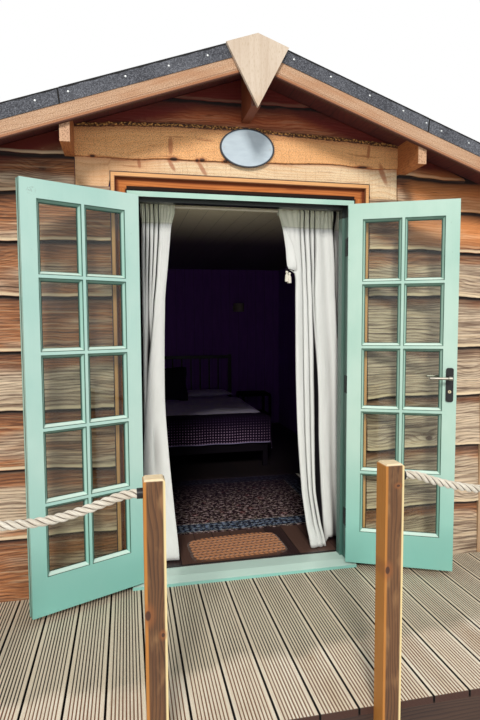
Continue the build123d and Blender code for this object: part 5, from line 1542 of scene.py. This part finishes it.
lines = (inset - 0.162).size().fade(0.004, 0.006, 1, 0) + (inset - 0.018).size().fade(0.004, 0.006, 1, 0)
wool.darken(lines.least(1), (206, 200, 186))
pile = wool.flow(380, 380, detail=3)
# Painted shade of the dim room: a plum darkening over the whole rug, stronger in worn patches.
worn_and_shaded = wool.flow(7, 7, 4, detail=4).fade(0.4, 0.75)
wool.darken(worn_and_shaded * 0.2 + pile * 0.1 + 0.3, (26, 16, 40))
speckle = wool.flow(34, 44, 8, detail=3, rough=0.75)
flecks = wool.mix(in_band, (206, 184, 188), (142, 162, 196))
wool.darken(speckle.fade(0.54, 0.6, 0, 0.7), flecks).darken(speckle.fade(0.51, 0.46, 0, 0.9), (16, 9, 26))
# Painted shade: almost black towards the back of the room.
wool.darken(rv.fade(0.2, 1.15, 0, 0.93), (20, 11, 28))
wool.seal(0.002, pile)
rug = finish_piece("patterned_rug", rug_bm, wool)
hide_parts("rug")

THREADS = 120
fringe_bm = bmesh.new()
for side in (0, 1):
    for k in range(THREADS):
        def thread(u, v, k=k, side=side):
            y = RUG_LOW.y + 0.008 + (rug_deep - 0.016) * (k + 0.5) / THREADS
            reach = 0.002 + 0.030 * u
            x = RUG_LOW.x + 0.006 - reach if side == 0 else RUG_HIGH.x - 0.006 + reach
            stray = 0.006 * u * noise.noise((k * 1.9, side * 5.1, 0))
            swing = math.tau * v
            z = 0.2319 + 0.0012 * math.sin(swing) + 0.0015 * (1 - u)
            return x, y + stray + 0.0013 * math.cos(swing), z
        bend_grid(fringe_bm, 3, 5, thread, stretch=(0.03, 0.004))
bmesh.ops.remove_doubles(fringe_bm, verts=fringe_bm.verts, dist=0.00001)
bmesh.ops.holes_fill(fringe_bm, edges=fringe_bm.edges)
fringe = finish_piece("rug_fringe", fringe_bm, cream_thread)
print("rug and", 2 * THREADS, "fringe threads")

# %% [markdown]
# ## Bedding
# Pillows and the square cushion are stuffed: two panels meet in a seam all round, thick in the
# middle, with corners that reach further out than the sides between them. A short cloth simulation
# with pressure blows each one up and wrinkles its seams, and a cap keeps every point near its start.

# %% Stuffed pieces
def stuffed_form(bm, wide, deep, thick, columns, rows, pull):
    """A closed pillow about the origin, seam in the middle plane."""
    def place(u, v, top):
        a, b = 2 * u - 1, 2 * v - 1
        x = wide / 2 * a * (1 - pull * (1 - b * b) * a * a)
        y = deep / 2 * b * (1 - pull * (1 - a * a) * b * b)
        crown = max(0.0, (1 - a ** 4) * (1 - b ** 4)) ** 0.55
        return (x, y, top * thick / 2 * crown)
    bend_grid(bm, columns, rows, lambda u, v: place(u, v, 1), stretch=(wide, deep))
    lower = bend_grid(bm, columns, rows, lambda u, v: place(u, v, -1), stretch=(wide, deep), shift=(2, 0))
    bmesh.ops.reverse_faces(bm, faces=lower)
    bmesh.ops.remove_doubles(bm, verts=bm.verts, dist=0.0001)


STEPS = 16


def blow_up(piece, cap):
    """Swell the piece with a short cloth simulation, no point further than cap from its start."""
    start = [corner.co.copy() for corner in piece.data.vertices]
    cloth = piece.modifiers.new("stuffing", "CLOTH")
    cloth.settings.use_pressure, cloth.settings.uniform_pressure_force = True, 4
    cloth.settings.tension_stiffness = cloth.settings.compression_stiffness = 12
    cloth.settings.effector_weights.gravity = 0
    cloth.point_cache.frame_start, cloth.point_cache.frame_end = 1, STEPS
    for step in range(1, STEPS + 1):
        bpy.context.scene.frame_set(step)
    solved = piece.evaluated_get(bpy.context.evaluated_depsgraph_get())
    ends = [corner.co.copy() for corner in solved.data.vertices]
    piece.modifiers.remove(cloth)
    bpy.context.scene.frame_set(1)
    for corner, first, last in zip(piece.data.vertices, start, ends):
        move = last - first
        corner.co = first + move * min(1.0, cap / max(move.length, 1e-9))
    piece.data.update()


def upholster(piece, node, cap=None):
    """Blow the piece up if it has a cap, make its surface finer, and put it in place of its node."""
    if cap:
        blow_up(piece, cap)
    smooth = piece.modifiers.new("fine surface", "SUBSURF")
    smooth.levels = smooth.render_levels = 1
    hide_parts(node)


white_linen = Finish("white linen", Roughness=0.9, Specular_IOR_Level=0.1)
wx, wy, wz = white_linen.place()
crumple = white_linen.cloud(9, detail=4, bend=0.8)
plain_weave = (wx * math.tau / 0.0016).sine() * ((wy + wz) * math.tau / 0.0016).sine()
# The lilac tint stands for the purple cast of the room's shade: painted shade colour.
white_linen.colour = white_linen.mix(crumple, (206, 196, 255), (254, 250, 255))
white_linen.seal(0.004, crumple * 3 + plain_weave * 0.1)

for name, x, turned in (("pillow_left", -0.335, -1), ("pillow_right", 0.335, 2)):
    pillow_bm = bmesh.new()
    stuffed_form(pillow_bm, 0.63, 0.45, 0.10, 44, 32, 0.05)
    put(pillow_bm, pillow_bm.verts, (x, 3.79, 0.732), turned=math.radians(turned))
    pillow = finish_piece(name, pillow_bm, white_linen)
    upholster(pillow, "pillows", cap=0.016)

cushion_bm = bmesh.new()
stuffed_form(cushion_bm, 0.435, 0.435, 0.11, 36, 36, 0.07)
low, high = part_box("cushion")
put(cushion_bm, cushion_bm.verts, (low + high) / 2, turned=math.radians(90 - 26), axis="X")
dark_velvet = Finish("dark cushion cloth", Roughness=0.9, Specular_IOR_Level=0.1)
nap = dark_velvet.cloud(60, detail=4)
dark_velvet.colour = dark_velvet.mix(nap, (18, 16, 26), (40, 36, 54))
dark_velvet.seal(0.0015, nap)
cushion = finish_piece("dark_square_cushion", cushion_bm, dark_velvet)
upholster(cushion, "cushion", cap=0.014)
print("pillows and cushion are stuffed")

# %% Mattress
mattress_bm = bmesh.new()
low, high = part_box("mattress")
centre, half = (low + high) / 2, (high - low) / 2
bmesh.ops.create_cube(mattress_bm, size=1)
bmesh.ops.subdivide_edges(mattress_bm, edges=mattress_bm.edges, cuts=9, use_grid_fill=True)
for corner in mattress_bm.verts:
    a, b, c = corner.co * 2
    a, b = round_corners(a, b, 14)
    bulge = 1 - 0.010 * c * c
    crown = 0.985 + 0.015 * (1 - a * a) * (1 - b * b)
    corner.co = centre + Vector((half.x * a * bulge, half.y * b * bulge, half.z * c * crown))
mattress = finish_piece("sprung_mattress", mattress_bm, white_linen)
upholster(mattress, "mattress")
print("mattress is made")

# %% [markdown]
# ## Duvet and blanket
# Both hang over the mattress's edges. A draped sheet is a grid of its flat cloth: a point inside the
# bed's outline lies on top, and a point beyond it drops by what is left over. Soft noise makes the
# creases, and the hems swing a little.

# %% Draped sheets
def draped(name, node, wide, near_y, far_y, top, foot_drop, side_drop, thick, creases, finish, number):
    """A sheet over the mattress in place of its node. wide is half its width on top."""
    bm = bmesh.new()
    length = (far_y - near_y) + foot_drop
    flat_wide = 2 * (wide + side_drop)

    def place(u, v):
        a, b = (u - 0.5) * flat_wide, v * length
        over_side = max(abs(a) - wide, 0.0)
        over_foot = max(foot_drop - b, 0.0)
        x = math.copysign(min(abs(a), wide), a)
        y = near_y + max(b - foot_drop, 0.0)
        fall = (over_side ** 3 + over_foot ** 3) ** (1 / 3)
        fine = noise.noise((a * 13, b * 11, number + 5))
        crease = creases * (noise.noise((a * 5, b * 5, number)) + 0.5 * fine)
        swing = 0.010 * math.sin(a * 19 + b * 7 + number) * min(over_foot * 6, 1)
        swing -= 0.006 * min(over_foot * 4, 1)
        sway = 0.010 * math.sin(b * 17 + number) * min(over_side * 6, 1)
        bend = 0.012 * min(max(fall, 0) / 0.02, 1) if fall else 0
        edge = min(wide - min(abs(a), wide), max(b - foot_drop, 0)) if not fall else 0
        soft = 0.010 * max(0.0, 1 - edge / 0.05) ** 2 if not fall else 0.010
        z = top - soft - max(fall - bend, 0) + (crease if not fall else 0)
        return (x + math.copysign(min(over_side, 0.006) + sway, a) if over_side else x,
                y - (min(over_foot, 0.006) + swing if over_foot else 0), z)
    bend_grid(bm, 110, 90, place, stretch=(flat_wide, length))
    made = finish_piece(name, bm, finish, outwards=False)
    thicken(made, thick)
    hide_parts(node)


draped("white_duvet", "duvet", 0.682, 2.068, 3.548, 0.703, 0.0, 0.145, 0.014, 0.009, white_linen,
       3)

waffle = Finish("waffle blanket", Roughness=0.95, Specular_IOR_Level=0.05)
bu, bv, _ = waffle.place("UV")
cell_u, cell_v = (bu / 0.026).part() - 0.5, (bv / 0.026).part() - 0.5
dot = (cell_u * cell_u + cell_v * cell_v).fade(0.03, 0.075, 1, 0)
hem_band = bv.fade(0.006, 0.012, 1, 0)
yarn = waffle.flow(500, 500, detail=2)
waffle.colour = waffle.mix(yarn, (16, 8, 24), (28, 16, 38))
# Painted light and shade: the waffle's spots are lightest at the hem, darker on top and darker towards the
# right.
lit_and_shaded_dots = waffle.mix(bv.fade(0.05, 0.24), (176, 146, 178), (52, 36, 68))
waffle.darken(dot * bu.fade(1.3, 1.7, 0.85, 0.35), lit_and_shaded_dots).darken(hem_band, (140, 132, 170))
waffle.seal(0.003, dot + yarn * 0.3)
draped("waffle_blanket", "blanket", 0.694, 2.052, 2.262, 0.7185, 0.255, 0.245, 0.006, 0.003, waffle,
       8)
print("duvet and blanket are draped")

# %% [markdown]
# ### Bed frame, table and lamp
# The headboard is black tube, and the base and table are dark stained wood. The little wall light
# has a pale cloth shade.

# %% Furniture finishes
bed_black = rubbed_metal("bed tube", (38, 36, 40), (18, 17, 20), 0.45, 0.3)
dress(bed_black, "bed_headboard")
dark_wood = Timber("dark stained wood", "y", (12, 7, 16), (7, 4, 10), (4, 2, 5),
                   knots=0.02, Roughness=0.8, Specular_IOR_Level=0.08)
dark_wood.seal()
dress(dark_wood, "bed_base", "bedside_table")
shade_cloth = Finish("lamp shade cloth", Roughness=0.9)
hx, _, hz = shade_cloth.place()
threads = (hx * math.tau / 0.002).sine() * (hz * math.tau / 0.002).sine()
mottled = shade_cloth.cloud(50, detail=3)
shade_cloth.colour = shade_cloth.mix(mottled, (120, 108, 100), (168, 156, 144))
shade_cloth.seal(0.0006, threads * 0.2 + mottled)
dress(shade_cloth, "wall_light")
print("furniture is finished")
